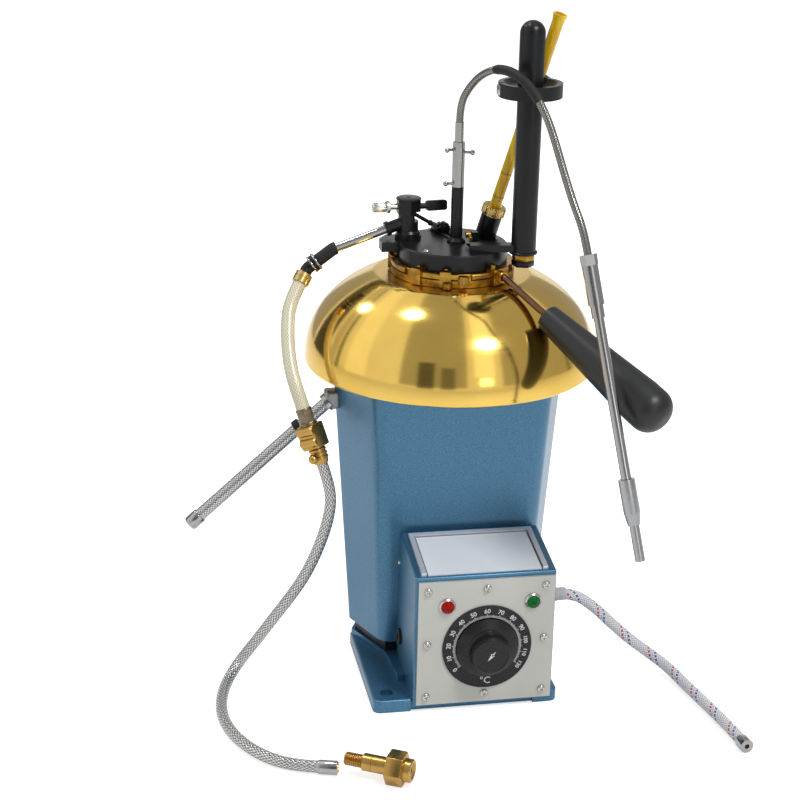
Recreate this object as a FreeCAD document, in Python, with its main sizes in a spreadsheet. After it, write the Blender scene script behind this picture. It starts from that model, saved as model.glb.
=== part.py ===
import FreeCAD, Part
import Sketcher
import math
import os
import re
from types import SimpleNamespace

# Flash point tester: a closed cup heated in an air bath, with a lid that carries the stirrer,
# the gas flame and the thermometer. Millimetres, +Z up, the cup's axis is the Z axis at the
# underside of the base, and the control box faces -Y.

SIZES = {
    # base casting: a flat foot at the front, a raised hexagon under the body
    "base_left": 63.6,
    "base_right": 57.7,
    "base_front": 95.8,
    "base_thickness": 8.6,
    "base_shoulder": 30.0,
    "base_recess": 2.0,
    "base_left_foot": 24.1,
    "base_right_foot": 16.6,
    "base_corner_radius": 5.0,
    "base_edge_radius": 1.6,
    "foot_hole_radius": 4.2,
    "foot_hole_side": 10.1,
    "foot_hole_front": 11.2,
    "raise_height": 4.0,
    "raise_width": 63.0,
    "raise_corner": 46.0,
    "raise_depth": 37.0,
    "raise_neck_left": 43.5,
    "raise_neck_right": 55.0,
    "raise_neck_front": 70.0,
    # plinth and body, both hexagons given by side corner, front corner and depth
    "plinth_height": 8.4,
    "plinth_inset": 4.0,
    "body_foot_width": 65.0,
    "body_foot_corner": 48.5,
    "body_foot_depth": 39.5,
    "body_head_width": 77.5,
    "body_head_depth": 49.0,
    "body_height": 183.0,
    "body_wall": 5.0,
    "body_floor": 6.0,
    "body_front_radius": 11.0,
    "body_side_radius": 5.0,
    "lid_deck_thickness": 4.0,
    # air bath with its heater
    "bath_margin": 7.0,
    "bath_cavity_radius": 33.0,
    "bath_flange_radius": 48.0,
    "bath_flange_thickness": 4.0,
    "bath_height": 56.4,
    "bath_floor": 7.0,
    "bath_hole_gap": 0.3,
    "heater_radius": 38.0,
    "heater_thickness": 14.0,
    "heater_bore_radius": 6.0,
    "heater_groove_width": 8.0,
    "heater_groove_depth": 5.0,
    # polished dome over the bath
    "dome_radius": 95.2,
    "dome_drop": 58.4,
    "dome_flat_radius": 50.2,
    "dome_hole_radius": 34.5,
    "dome_wall": 1.2,
    "dome_lip_radius": 1.8,
    # cup and its ring
    "cup_radius": 25.4,
    "cup_wall": 2.5,
    "cup_depth": 56.0,
    "cup_floor": 2.4,
    "cup_flange_radius": 39.7,
    "cup_flange_thickness": 4.5,
    "seat_gap": 0.3,
    "ring_height": 3.8,
    "ring_lip_height": 2.8,
    "ring_lip_radius": 32.6,
    "ring_lip_wall": 1.6,
    "ring_notch_width": 9.0,
    "ring_notch_depth": 1.6,
    "lug_reach": 6.0,
    "lug_gap": 0.5,
    "lug_width": 7.0,
    "lug_rise": 2.2,
    "boss_width": 12.0,
    "boss_reach": 7.0,
    # cup handle: a rod that bends down to a wooden-shaped grip
    "handle_turn": 33.5,
    "handle_slope": 24.0,
    "handle_rod_radius": 2.15,
    "handle_rod_height": 1.1,
    "handle_level_run": 3.5,
    "handle_bend_radius": 9.0,
    "handle_rod_run": 40.5,
    "grip_length": 104.0,
    "grip_root_radius": 8.3,
    "grip_end_radius": 14.4,
    "grip_swell_run": 83.0,
    "grip_round": 12.0,
    "grip_root_round": 1.5,
    "grip_bore_depth": 25.0,
    "grip_bore_gap": 0.05,
    # lid plate with its side lug and its flame port
    "lid_radius": 35.0,
    "lid_height": 10.7,
    "lid_plate_thickness": 4.2,
    "lid_rim": 2.0,
    "lid_edge": 0.8,
    "lug_plate_thickness": 6.2,
    "lug_plate_left": 46.0,
    "lug_plate_front": 2.0,
    "lug_plate_back": 22.0,
    "port_across": 9.0,
    "port_front": 12.2,
    "port_back": 5.4,
    "port_width": 4.0,
    # stirrer with the bearing tube and coupling above it
    "stir_across": 2.0,
    "stir_shaft_radius": 1.6,
    "stir_running_gap": 0.05,
    "stir_fit_gap": 0.1,
    "bearing_radius": 3.9,
    "bearing_height": 36.3,
    "bearing_foot_radius": 6.0,
    "bearing_foot_height": 3.0,
    "bearing_spigot_radius": 2.95,
    "bearing_ring_height": 1.0,
    "sleeve_height": 28.7,
    "sleeve_radius": 4.0,
    "sleeve_neck_radius": 2.8,
    "sleeve_neck_height": 12.6,
    "sleeve_pin_radius": 0.9,
    "sleeve_pin_reach": 5.6,
    "sleeve_pin_ball_radius": 1.7,
    "sleeve_pin_drop": 4.6,
    "stir_shaft_top": 22.0,
    "stir_depth": 62.0,
    "paddle_radius": 14.0,
    "paddle_height": 8.0,
    "paddle_thickness": 1.5,
    "paddle_hub_radius": 2.8,
    "paddle_upper_drop": 36.0,
    # shutter plate under the lid
    "shutter_radius": 20.0,
    "shutter_thickness": 1.5,
    "shutter_gap": 0.3,
    "shutter_hub_radius": 6.0,
    "shutter_centre_angle": -52.0,
    "shutter_half_angle": 21.0,
    # gas valve tower
    "tower_across": -27.0,
    "tower_back": 13.0,
    "tower_pad_radius": 8.5,
    "tower_pad_height": 2.3,
    "tower_foot_radius": 7.6,
    "tower_foot_height": 3.0,
    "tower_radius": 6.5,
    "tower_height": 13.9,
    "tower_head_radius": 8.3,
    "tower_head_height": 9.2,
    "tower_slot_low": 9.0,
    "tower_slot_height": 6.7,
    "tower_slot_low_angle": -66.0,
    "tower_slot_high_angle": 39.0,
    "inlet_radius": 3.9,
    "inlet_ring_radius": 4.7,
    "inlet_ring_width": 2.6,
    "inlet_bore_depth": 8.0,
    "inlet_rise": 11.2,
    "inlet_reach": 15.8,
    "tube_radius": 2.8,
    "spindle_radius": 2.8,
    "crank_length": 9.0,
    "crank_width": 3.4,
    "crank_thickness": 1.2,
    "lever_pin_radius": 1.25,
    "lever_ball_radius": 1.9,
    "lever_reach": 15.2,
    "lever_rise": 15.5,
    "lever_slope": 31.0,
    "spindle_top": 16.2,
    "spindle_foot": 8.0,
    "lever_angle": 9.0,
    "needle_turn": 186.0,
    "needle_rise": 18.6,
    "needle_stem_radius": 1.9,
    "needle_stem_length": 4.0,
    "needle_ring_radius": 4.0,
    "needle_ring_width": 2.6,
    "needle_knob_radius": 3.1,
    "needle_knob_length": 9.0,
    "wing_turn": 8.0,
    "wing_rise": 18.0,
    "wing_neck_radius": 1.9,
    "wing_neck_length": 3.2,
    "wing_length": 14.0,
    "wing_height": 6.6,
    "wing_thickness": 3.6,
    "valve_bore_gap": 0.05,
    "valve_seat_depth": 3.0,
    # flame tip, dips through the port when the lever turns
    "flame_hub_radius": 2.0,
    "flame_hub_width": 3.0,
    "flame_back": 3.5,
    "flame_rise": 5.3,
    "flame_tube_radius": 1.1,
    "flame_reach": 7.5,
    "flame_nose": 2.5,
    "bracket_width": 4.0,
    "bracket_depth": 5.0,
    "bracket_gap": 0.5,
    "bracket_pin_radius": 0.9,
    # thermometer
    "thermo_foot_across": 22.7,
    "thermo_foot_back": 8.6,
    "thermo_lean_across": 27.3,
    "thermo_lean_back": -20.1,
    "thermo_lean_rise": 110.8,
    "thermo_radius": 3.7,
    "thermo_wall": 1.0,
    "thermo_length": 149.7,
    "thermo_mouth_radius": 4.6,
    "thermo_mouth_length": 5.0,
    "thermo_stem_radius": 2.3,
    "thermo_stem_length": 44.0,
    "thermo_socket_radius": 6.8,
    "thermo_socket_length": 16.5,
    "thermo_nut_radius": 7.8,
    "thermo_nut_length": 6.0,
    "thermo_fit_gap": 0.05,
    "thermo_socket_foot": 4.0,
    # post, bar and collar
    "post_across": 40.0,
    "post_front": 26.0,
    "post_radius": 7.9,
    "post_length": 146.0,
    "post_dome_height": 3.5,
    "post_drop": 1.2,
    "post_stud_radius": 3.5,
    "post_stud_length": 9.2,
    "nut_corner_radius": 7.4,
    "brass_nut_height": 4.5,
    "lock_nut_height": 4.0,
    "bar_start_across": 6.0,
    "bar_start_front": 22.6,
    "bar_width": 8.0,
    "bar_thickness": 4.5,
    "collar_bottom": 383.6,
    "collar_height": 8.6,
    "collar_radius": 20.0,
    "collar_dish_radius": 17.0,
    "collar_dish_depth": 2.6,
    "collar_ear_radius": 7.2,
    "collar_slot_width": 2.0,
    "collar_bush_radius": 5.4,
    "collar_bush_height": 2.0,
    # control box
    "box_left": 38.7,
    "box_right": 52.7,
    "box_front": 97.6,
    "box_bottom": 4.4,
    "box_front_top": 95.0,
    "box_back_top": 102.5,
    "box_sheet": 1.5,
    "box_gap": 0.3,
    "box_edge_radius": 1.2,
    "window_left": 25.0,
    "window_right": 42.5,
    "window_bottom": 19.0,
    "window_top": 81.5,
    # front panel
    "panel_left": 36.7,
    "panel_right": 51.6,
    "panel_bottom": 5.9,
    "panel_top": 92.3,
    "panel_thickness": 1.8,
    "panel_screw_inset": 6.1,
    "panel_screw_low": 6.0,
    "panel_screw_radius": 1.45,
    "panel_screw_head_radius": 2.6,
    "panel_screw_head_height": 1.9,
    "panel_screw_length": 8.0,
    "panel_screw_gap": 0.05,
    # dial, knob, regulator and lamps
    "dial_across": 8.3,
    "dial_height": 45.3,
    "dial_radius": 29.0,
    "dial_thickness": 1.0,
    "knob_gap": 0.5,
    "knob_skirt_radius": 20.2,
    "knob_skirt_edge": 1.6,
    "knob_neck_radius": 13.2,
    "knob_neck_height": 4.6,
    "knob_length": 13.0,
    "knob_face_radius": 12.0,
    "knob_shaft_radius": 3.0,
    "knob_shaft_length": 16.0,
    "knob_shaft_gap": 0.05,
    "regulator_radius": 20.0,
    "regulator_depth": 24.0,
    "lamp_left_across": -18.3,
    "lamp_right_across": 37.3,
    "lamp_height": 75.5,
    "lamp_radius": 4.35,
    "lamp_rise": 3.4,
    "lamp_barrel_length": 9.0,
    "lamp_bezel_radius": 5.4,
    "lamp_bezel_height": 1.8,
    "lamp_gap": 0.05,
    # label frame on the sloped top
    "frame_left": 34.5,
    "frame_right": 47.2,
    "frame_near": 2.2,
    "frame_far": 49.5,
    "frame_strip": 3.2,
    "frame_height": 2.4,
    "plate_thickness": 1.2,
    "plate_gap": 0.2,
    # grommet and cable gland in the box's sides
    "grommet_front": 51.3,
    "grommet_height": 31.1,
    "grommet_radius": 5.4,
    "grommet_hole_radius": 4.0,
    "grommet_bore_radius": 2.6,
    "grommet_lip": 1.8,
    "gland_front": 48.0,
    "gland_height": 53.0,
    "gland_nut_radius": 7.5,
    "gland_nut_width": 4.0,
    "gland_neck_radius": 5.6,
    "gland_tail_radius": 4.6,
    "gland_length": 13.3,
    # hoses, cable and flexible shaft
    "cable_radius": 3.7,
    "cable_ferrule_radius": 4.4,
    "cable_ferrule_length": 9.0,
    "cable_bore_radius": 1.6,
    "upper_hose_radius": 4.5,
    "lower_hose_radius": 3.7,
    "shaft_radius": 2.4,
    "sleeve_hose_radius": 4.2,
    "elbow_radius": 4.0,
    "elbow_nut_radius": 5.6,
    "elbow_nut_width": 5.0,
    "elbow_corner": 3.0,
    "top_ferrule_radius": 5.6,
    "top_ferrule_length": 8.0,
    "coupling_ferrule_radius": 5.2,
    "coupling_ferrule_length": 10.5,
    "coupling_block_side": 15.0,
    "coupling_block_length": 15.5,
    "coupling_tail_radius": 5.6,
    "coupling_knob_radius": 3.0,
    "coupling_knob_turn": 235.0,
    "coupling_knob_reach": 8.0,
    "hose_ferrule_radius": 4.4,
    "hose_ferrule_length": 13.0,
    "hose_ferrule_bore": 2.4,
    # support arm at the body's left corner
    "arm_drop": 23.5,
    "arm_slope": 41.8,
    "arm_radius": 4.2,
    "arm_length": 124.6,
    "arm_start": 79.3,
    "arm_ferrule_radius": 5.0,
    "arm_ferrule_length": 9.5,
    "arm_ring_radius": 6.2,
    "arm_ring_width": 3.5,
    "clamp_length": 8.0,
    "clamp_width": 12.0,
    "clamp_height": 15.0,
    "clip_radius": 6.6,
    "clip_width": 5.0,
    "clip_place": 17.0,
    # drive at the far end of the flexible shaft
    "drive_nut_radius": 5.3,
    "drive_nut_width": 6.3,
    "drive_sleeve_radius": 4.8,
    "drive_sleeve_length": 23.6,
    "drive_collar_radius": 3.9,
    "drive_collar_length": 7.5,
    "drive_rod_radius": 3.1,
    "drive_rod_length": 97.0,
    "drive_fitting_radius": 5.0,
    "drive_fitting_length": 20.0,
    "drive_cone_length": 7.8,
    "drive_spindle_radius": 3.0,
    "drive_bore_depth": 18.0,
    "drive_spindle_gap": 0.05,
    # loose gas adaptor that lies beside the tester
    "adaptor_thread_radius": 4.2,
    "adaptor_thread_length": 11.5,
    "adaptor_barrel_radius": 5.4,
    "adaptor_barrel_length": 16.0,
    "adaptor_hex_flats": 19.0,
    "adaptor_hex_length": 10.5,
    "adaptor_collar_radius": 7.2,
    "adaptor_collar_length": 5.0,
    "adaptor_bore_radius": 2.6,
    # how a hexagon is turned from a flat to a corner
    "hexagon_turn": 30.0,
    # the lid's top where the routes were measured
    "route_lid_level": 285.2,
    # one overrun for every cut that passes through its piece
    "cut_overrun": 5.0,
}

# Routes of the free hoses, the cable and the flexible shaft, end to end as they lie.
UPPER_HOSE_ROUTE = [
    (-98.4, 5.1, 259.2), (-105.6, -1.3, 248.5), (-108.4, -11.2, 236.2), (-109.1, -20.6, 223.2),
    (-108.1, -29.4, 211.2), (-105.0, -37.5, 199.6), (-102.0, -40.1, 190.2),
]
LOWER_HOSE_ROUTE = [
    (-91.3, -49.2, 156.6), (-88.3, -51.8, 147.3), (-86.0, -53.6, 135.7), (-86.8, -53.5, 123.5),
    (-90.2, -51.8, 108.5), (-95.4, -48.8, 91.9), (-102.1, -46.1, 76.1), (-110.4, -43.5, 61.7),
    (-119.9, -40.2, 46.9), (-131.7, -35.5, 27.7), (-144.2, -35.3, 11.5), (-153.5, -48.0, 4.5),
    (-159.0, -69.0, 4.2), (-160.5, -91.0, 4.2), (-156.5, -112.5, 4.2), (-147.5, -132.5, 4.2),
    (-134.5, -148.5, 4.2), (-119.5, -157.0, 4.3), (-109.6, -160.0, 4.5),
]
CABLE_ROUTE = [
    (66.0, -48.0, 53.0), (79.0, -48.0, 53.0), (94.0, -46.6, 41.5), (106.0, -47.0, 29.2),
    (118.6, -50.2, 17.6), (131.0, -58.9, 9.9), (140.0, -72.6, 6.1), (144.9, -93.6, 4.4),
    (150.6, -123.0, 4.2), (155.0, -149.5, 4.3), (157.0, -168.0, 4.5),
]
SHAFT_ROUTE = [
    (2.0, 0.0, 362.8), (2.0, 0.0, 374.0), (6.0, -6.8, 386.0), (11.5, -17.0, 396.0),
    (18.5, -31.0, 402.0), (27.0, -46.0, 400.5), (35.0, -58.5, 391.0), (40.3, -69.5, 378.0),
    (43.2, -81.5, 363.8), (45.3, -93.8, 350.0), (48.2, -106.0, 335.5), (52.7, -114.6, 321.6),
    (54.8, -118.5, 308.3),
]
DRIVE_TIP = (82.4, -170.0, 133.5)
GAS_TUBE_ROUTE = [(-74.4, 10.0, 280.5), (-76.5, 9.8, 279.8), (-86.4, 9.2, 272.7)]
ADAPTOR_START = (-92.1, -161.1)
ADAPTOR_END = (-54.5, -182.0)

UP = FreeCAD.Vector(0, 0, 1)
ORIGIN = FreeCAD.Vector(0, 0, 0)
SUPERELLIPSE_SHARE = 2.2
DOME_STEPS = 8

doc = FreeCAD.newDocument("flash_point_tester")
sheet = doc.addObject("Spreadsheet::Sheet", "sizes")
for row, (name, number) in enumerate(SIZES.items(), start=1):
    sheet.set(f"A{row}", name)
    sheet.set(f"B{row}", str(number))
    sheet.setAlias(f"B{row}", name)
doc.recompute()
s = SimpleNamespace(**{name: float(sheet.get(name)) for name in SIZES})
nodes = []


def bind(thing, path, rule):
    """Bind one property to a rule written with the sheet's aliases."""
    thing.setExpression(path, re.sub(r"\b([a-z]+_\w+)\b", r"sizes.\1", rule))


def keep(thing, label):
    """Name a finished piece, which is written to its own file."""
    thing.Label = label
    nodes.append(thing)
    return thing


def along(base, direction, spin=0):
    """The placement that stands a piece made along Z at base, pointing in direction."""
    turn = FreeCAD.Rotation(UP, FreeCAD.Vector(direction))
    return FreeCAD.Placement(FreeCAD.Vector(base), turn * FreeCAD.Rotation(UP, spin))


def heading(angle, slope=0):
    """A unit vector at an angle from +X about Z, sloping down by slope."""
    level = math.cos(math.radians(slope))
    turn = math.radians(angle)
    return FreeCAD.Vector(level * math.cos(turn), level * math.sin(turn), -math.sin(math.radians(slope)))


def step(route, first, second):
    """The unit vector from one point of a route to another."""
    return (FreeCAD.Vector(route[second]) - FreeCAD.Vector(route[first])).normalize()


def attach(body, role, lift):
    """An empty sketch on one of the body's own planes, lifted along its normal."""
    sketch = body.newObject("Sketcher::SketchObject", "outline")
    plane = next(item for item in body.Origin.OriginFeatures if item.Role == role)
    sketch.AttachmentSupport = (plane, [""])
    sketch.MapMode = "FlatFace"
    bind(sketch, "AttachmentOffset.Base.z", lift)
    return sketch


def hold(sketch, element, vertex, kind, rule):
    """Fix one coordinate of a sketch vertex to a rule."""
    if rule == "0":
        axis = -2 if kind == "DistanceX" else -1
        sketch.addConstraint(Sketcher.Constraint("PointOnObject", element, vertex, axis))
        return
    index = sketch.addConstraint(Sketcher.Constraint(kind, element, vertex, 1.0))
    bind(sketch, f"Constraints[{index}]", rule)


def outline(body, role, corners, lift="0"):
    """A closed sketch whose corners are pairs of rules."""
    sketch = attach(body, role, lift)
    count = len(corners)
    spots = [heading(360 * index / count) for index in range(count)]
    for index in range(count):
        sketch.addGeometry(Part.LineSegment(spots[index], spots[(index + 1) % count]), False)
    for index in range(count):
        sketch.addConstraint(Sketcher.Constraint("Coincident", index, 2, (index + 1) % count, 1))
    for index, (across, up) in enumerate(corners):
        hold(sketch, index, 1, "DistanceX", across)
        hold(sketch, index, 1, "DistanceY", up)
    return sketch


def rounds(body, role, circles, lift="0"):
    """A sketch of circles, each given by two centre rules and a radius rule."""
    sketch = attach(body, role, lift)
    for index, (across, up, radius) in enumerate(circles):
        sketch.addGeometry(Part.Circle(heading(index), UP, 1), False)
        hold(sketch, index, 3, "DistanceX", across)
        hold(sketch, index, 3, "DistanceY", up)
        held = sketch.addConstraint(Sketcher.Constraint("Radius", index, 1.0))
        bind(sketch, f"Constraints[{held}]", radius)
    return sketch


def pad(body, sketch, length):
    """A pad of a sketch along its normal."""
    solid = body.newObject("PartDesign::Pad", "pad")
    solid.Profile = sketch
    bind(solid, "Length", length)
    return solid


def pocket(body, sketch, length, onward=False):
    """A pocket of a sketch, against its normal or, with onward, along it."""
    body.Document.recompute()
    before = body.Shape.Volume
    solid = body.newObject("PartDesign::Pocket", "pocket")
    solid.Profile = sketch
    solid.Reversed = onward
    bind(solid, "Length", length)
    body.Document.recompute()
    if body.Shape.Volume >= before:
        raise RuntimeError(f"{body.Name}: the pocket cuts nothing")
    return solid


def fillet(body, radius, picks):
    """A fillet on the edges of the body's tip whose middle point picks() accepts."""
    body.Document.recompute()
    base = body.Tip
    names = []
    for index, edge in enumerate(base.Shape.Edges, start=1):
        middle = edge.valueAt((edge.FirstParameter + edge.LastParameter) / 2)
        if picks(edge, middle):
            names.append(f"Edge{index}")
    if not names:
        raise RuntimeError(f"{body.Name}: no edge to round")
    solid = body.newObject("PartDesign::Fillet", "rounding")
    solid.Base = (base, names)
    bind(solid, "Radius", radius)
    return solid


def turned(label, corners, base=ORIGIN, direction=UP):
    """A turned piece from a radius and height profile, stood at base along direction."""
    body = doc.addObject("PartDesign::Body", label)
    sketch = outline(body, "XZ_Plane", corners)
    solid = body.newObject("PartDesign::Revolution", "turning")
    solid.Profile = sketch
    solid.ReferenceAxis = (sketch, ["V_Axis"])
    body.Placement = along(base, direction)
    return body


def rod(name, radius, length, base=ORIGIN, direction=UP):
    """A plain cylinder with bound radius and length."""
    solid = doc.addObject("Part::Cylinder", name)
    bind(solid, "Radius", radius)
    bind(solid, "Height", length)
    solid.Placement = along(base, direction)
    return solid


def brick(name, sides, placement):
    """A block centred across its own X and Y, rising along its Z."""
    body = doc.addObject("PartDesign::Body", name)
    wide, deep, tall = sides
    half_wide = f"({wide}) / 2"
    half_deep = f"({deep}) / 2"
    corners = [(f"-{half_wide}", f"-{half_deep}"), (half_wide, f"-{half_deep}"),
               (half_wide, half_deep), (f"-{half_wide}", half_deep)]
    pad(body, outline(body, "XY_Plane", corners), tall)
    body.Placement = placement
    return body


def six_sided(name, corner_radius, length, base=ORIGIN, direction=UP, spin=0):
    """A hexagonal bar."""
    solid = doc.addObject("Part::Prism", name)
    solid.Polygon = 6
    bind(solid, "Circumradius", corner_radius)
    bind(solid, "Height", length)
    solid.Placement = along(base, direction, spin)
    return solid


def joined(name, pieces):
    """One solid from several that overlap."""
    union = doc.addObject("Part::MultiFuse", name)
    union.Shapes = pieces
    union.Refine = True
    return union


def less(name, piece, tools):
    """A piece with tools cut out of it."""
    result = doc.addObject("Part::Cut", name)
    result.Base = piece
    result.Tool = tools[0] if len(tools) == 1 else joined(f"{name}_tools", tools)
    result.Refine = True
    return result


def shaped(label, shape):
    """A piece whose shape is made in this file from the sheet's sizes."""
    piece = doc.addObject("Part::Feature", label)
    piece.Shape = shape
    return piece


def hexagon(width, corner, depth, inset="0"):
    """Corner rules of a long hexagon, its sides moved in by inset."""
    side = f"sqrt(({depth})^2 + (({width}) - ({corner}))^2)"
    wide = f"(({width}) - ({inset}) * {side} / ({depth}))"
    near = f"({wide} - (({width}) - ({corner})) * (({depth}) - ({inset})) / ({depth}))"
    deep = f"(({depth}) - ({inset}))"
    return [(f"-{wide}", "0"), (f"-{near}", f"-{deep}"), (near, f"-{deep}"),
            (wide, "0"), (near, deep), (f"-{near}", deep)]


def tube_path(route, share=0.45):
    """Straight runs joined by arcs as large as their runs allow, and the smallest arc radius."""
    points = [FreeCAD.Vector(point) for point in route]
    edges = []
    radii = []
    last = points[0]
    for index in range(1, len(points) - 1):
        before = points[index - 1] - points[index]
        after = points[index + 1] - points[index]
        trim = share * min(before.Length, after.Length)
        half_turn = (math.pi - before.getAngle(after)) / 2
        radii.append(trim / math.tan(half_turn))
        start = points[index] + FreeCAD.Vector(before).normalize() * trim
        end = points[index] + FreeCAD.Vector(after).normalize() * trim
        inward = (FreeCAD.Vector(before).normalize() + FreeCAD.Vector(after).normalize()).normalize()
        reach = radii[-1] / math.cos(half_turn) - radii[-1]
        edges.append(Part.LineSegment(last, start).toShape())
        edges.append(Part.Arc(start, points[index] + inward * reach, end).toShape())
        last = end
    edges.append(Part.LineSegment(last, points[-1]).toShape())
    return Part.Wire(edges), radii


def tube(label, route, radius):
    """A round tube along a route, with its volume set against section times length."""
    path, radii = tube_path(route)
    start = FreeCAD.Vector(route[0])
    ring = Part.Wire([Part.Circle(start, step(route, 0, 1), radius).toShape()])
    solid = path.makePipeShell([ring], True, False)
    share = solid.Volume / (math.pi * radius ** 2 * path.Length)
    least = min(radii) / (2 * radius)
    print(f"{label}: length {path.Length:.1f}, volume share {share:.4f}, least radius {least:.1f} diameters")
    return shaped(label, solid)


# Heights that several pieces share, worked out from the sizes above.
raise_top = s.base_thickness + s.raise_height
plinth_top = raise_top + s.plinth_height
deck_bottom = plinth_top + s.body_height
deck_top = deck_bottom + s.lid_deck_thickness
bath_top = deck_top + s.bath_height
annulus_top = bath_top + s.dome_wall
flange_bottom = annulus_top + s.seat_gap
flange_top = flange_bottom + s.cup_flange_thickness
ring_top = flange_top + s.ring_height
lid_bottom = ring_top + s.seat_gap
lid_top = lid_bottom + s.lid_height
route_rise = lid_top - s.route_lid_level
SIDE_SLOPE = "(body_foot_width - body_foot_corner) / body_foot_depth"
HEAD_CORNER = f"body_head_width - body_head_depth * {SIDE_SLOPE}"
BATH_RADIUS = "body_head_depth - bath_margin"
RAISE_TOP = "base_thickness + raise_height"
PLINTH_TOP = f"{RAISE_TOP} + plinth_height"


def lifted(route, foot=None):
    """A route moved up with the lid, above a foot in proportion to the height over it."""
    top = route[0][2]
    shares = [1 if foot is None else max(0, (z - foot) / (top - foot)) for x, y, z in route]
    return [(x, y, z + route_rise * share) for (x, y, z), share in zip(route, shares)]


upper_hose = lifted(UPPER_HOSE_ROUTE)
lower_hose = lifted(LOWER_HOSE_ROUTE, s.cut_overrun)
shaft_line = lifted(SHAFT_ROUTE)
gas_tube_line = lifted(GAS_TUBE_ROUTE)
drive_tip = FreeCAD.Vector(DRIVE_TIP) + UP * route_rise


# Base: one casting with two flat front feet and a raised hexagon for the body.
def make_base():
    body = doc.addObject("PartDesign::Body", "base_plate")
    rear_corner = "body_foot_corner - plinth_inset"
    foot = [("-base_left", "-base_front"), ("-base_left + base_left_foot", "-base_front"),
            ("-base_left + base_left_foot", "-base_front + base_recess"),
            ("base_right - base_right_foot", "-base_front + base_recess"),
            ("base_right - base_right_foot", "-base_front"), ("base_right", "-base_front"),
            ("base_right", "-base_shoulder"), ("base_left", "-base_recess"),
            ("base_left", "base_recess"), (rear_corner, "body_foot_depth + base_recess"),
            (f"-({rear_corner})", "body_foot_depth + base_recess"), ("-base_left", "base_recess")]
    pad(body, outline(body, "XY_Plane", foot), "base_thickness")
    fillet(body, "base_corner_radius", lambda edge, middle: abs(edge.tangentAt(0).z) > 0.9
           and middle.y < -s.base_front + s.base_edge_radius
           and (middle.x < -s.base_left + s.base_recess or middle.x > s.base_right - s.base_recess))
    fillet(body, "base_edge_radius", lambda edge, middle: middle.z > s.base_thickness - s.seat_gap
           and abs(edge.BoundBox.ZLength) < s.seat_gap)
    raised = [("-raise_width", "0"), ("-raise_corner", "-raise_depth"),
              ("-raise_neck_left", "-raise_neck_front"), ("raise_neck_right", "-raise_neck_front"),
              ("raise_width", "0"), ("raise_corner", "raise_depth"), ("-raise_corner", "raise_depth")]
    pad(body, outline(body, "XY_Plane", raised), RAISE_TOP)
    hole = [("-base_left + foot_hole_side", "-base_front + foot_hole_front", "foot_hole_radius")]
    sketch = rounds(body, "XY_Plane", hole, "base_thickness + cut_overrun")
    pocket(body, sketch, "base_thickness + 2 * cut_overrun")
    keep(body, "base_plate")


# Plinth: the black recessed band between base and body.
def make_plinth():
    body = doc.addObject("PartDesign::Body", "plinth")
    corners = hexagon("body_foot_width", "body_foot_corner", "body_foot_depth", "plinth_inset")
    pad(body, outline(body, "XY_Plane", corners, RAISE_TOP), "plinth_height")
    keep(body, "plinth")


def rounded(corners, radii):
    """A closed wire through level corners, each with an arc of its own radius."""
    count = len(corners)
    edges = []
    ends = []
    for index, (corner, radius) in enumerate(zip(corners, radii)):
        before = (corners[index - 1] - corner).normalize()
        after = (corners[(index + 1) % count] - corner).normalize()
        half = before.getAngle(after) / 2
        trim = radius / math.tan(half)
        inward = (before + after).normalize()
        start = corner + before * trim
        end = corner + after * trim
        edges.append(Part.Arc(start, corner + inward * (radius / math.sin(half) - radius), end).toShape())
        ends.append((start, end))
    walls = [Part.LineSegment(ends[index][1], ends[(index + 1) % count][0]).toShape()
             for index in range(count)]
    return Part.Wire([edge for pair in zip(edges, walls) for edge in pair])


# Body shell: a hexagonal casting that widens upwards, open at the top.
def make_body_shell():
    slope = (s.body_foot_width - s.body_foot_corner) / s.body_foot_depth

    def section(level, inset=0):
        """The rounded hexagon at a height above the plinth, moved in by inset."""
        rise = level / s.body_height
        width = s.body_foot_width + (s.body_head_width - s.body_foot_width) * rise
        depth = s.body_foot_depth + (s.body_head_depth - s.body_foot_depth) * rise
        wide = width - inset * math.hypot(1, slope)
        deep = depth - inset
        near = wide - slope * deep
        flat = [(-wide, 0), (-near, -deep), (near, -deep), (wide, 0), (near, deep), (-near, deep)]
        corners = [FreeCAD.Vector(x, y, plinth_top + level) for x, y in flat]
        side, front = s.body_side_radius - inset * 0.9, s.body_front_radius - inset
        return rounded(corners, [side, front, front, side, front, front])

    outer = Part.makeLoft([section(0), section(s.body_height)], True, True)
    inner = Part.makeLoft([section(s.body_floor, s.body_wall),
                           section(s.body_height + s.cut_overrun, s.body_wall)], True, True)
    keep(shaped("body_shell", outer.cut(inner)), "body_shell")
    return outer


# Deck: the plate that closes the body and carries the bath by its flange.
def make_top_plate():
    body = doc.addObject("PartDesign::Body", "top_plate")
    head = hexagon("body_head_width", HEAD_CORNER, "body_head_depth")
    deck = f"{PLINTH_TOP} + body_height"
    pad(body, outline(body, "XY_Plane", head, deck), "lid_deck_thickness")
    fillet(body, "body_front_radius", lambda edge, middle: edge.BoundBox.ZLength > s.seat_gap
           and abs(middle.y) > s.body_head_depth / 2)
    hole = rounds(body, "XY_Plane", [("0", "0", f"{BATH_RADIUS} + bath_hole_gap")],
                  f"{deck} + lid_deck_thickness + cut_overrun")
    pocket(body, hole, "lid_deck_thickness + 2 * cut_overrun")
    keep(body, "top_plate")


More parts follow.
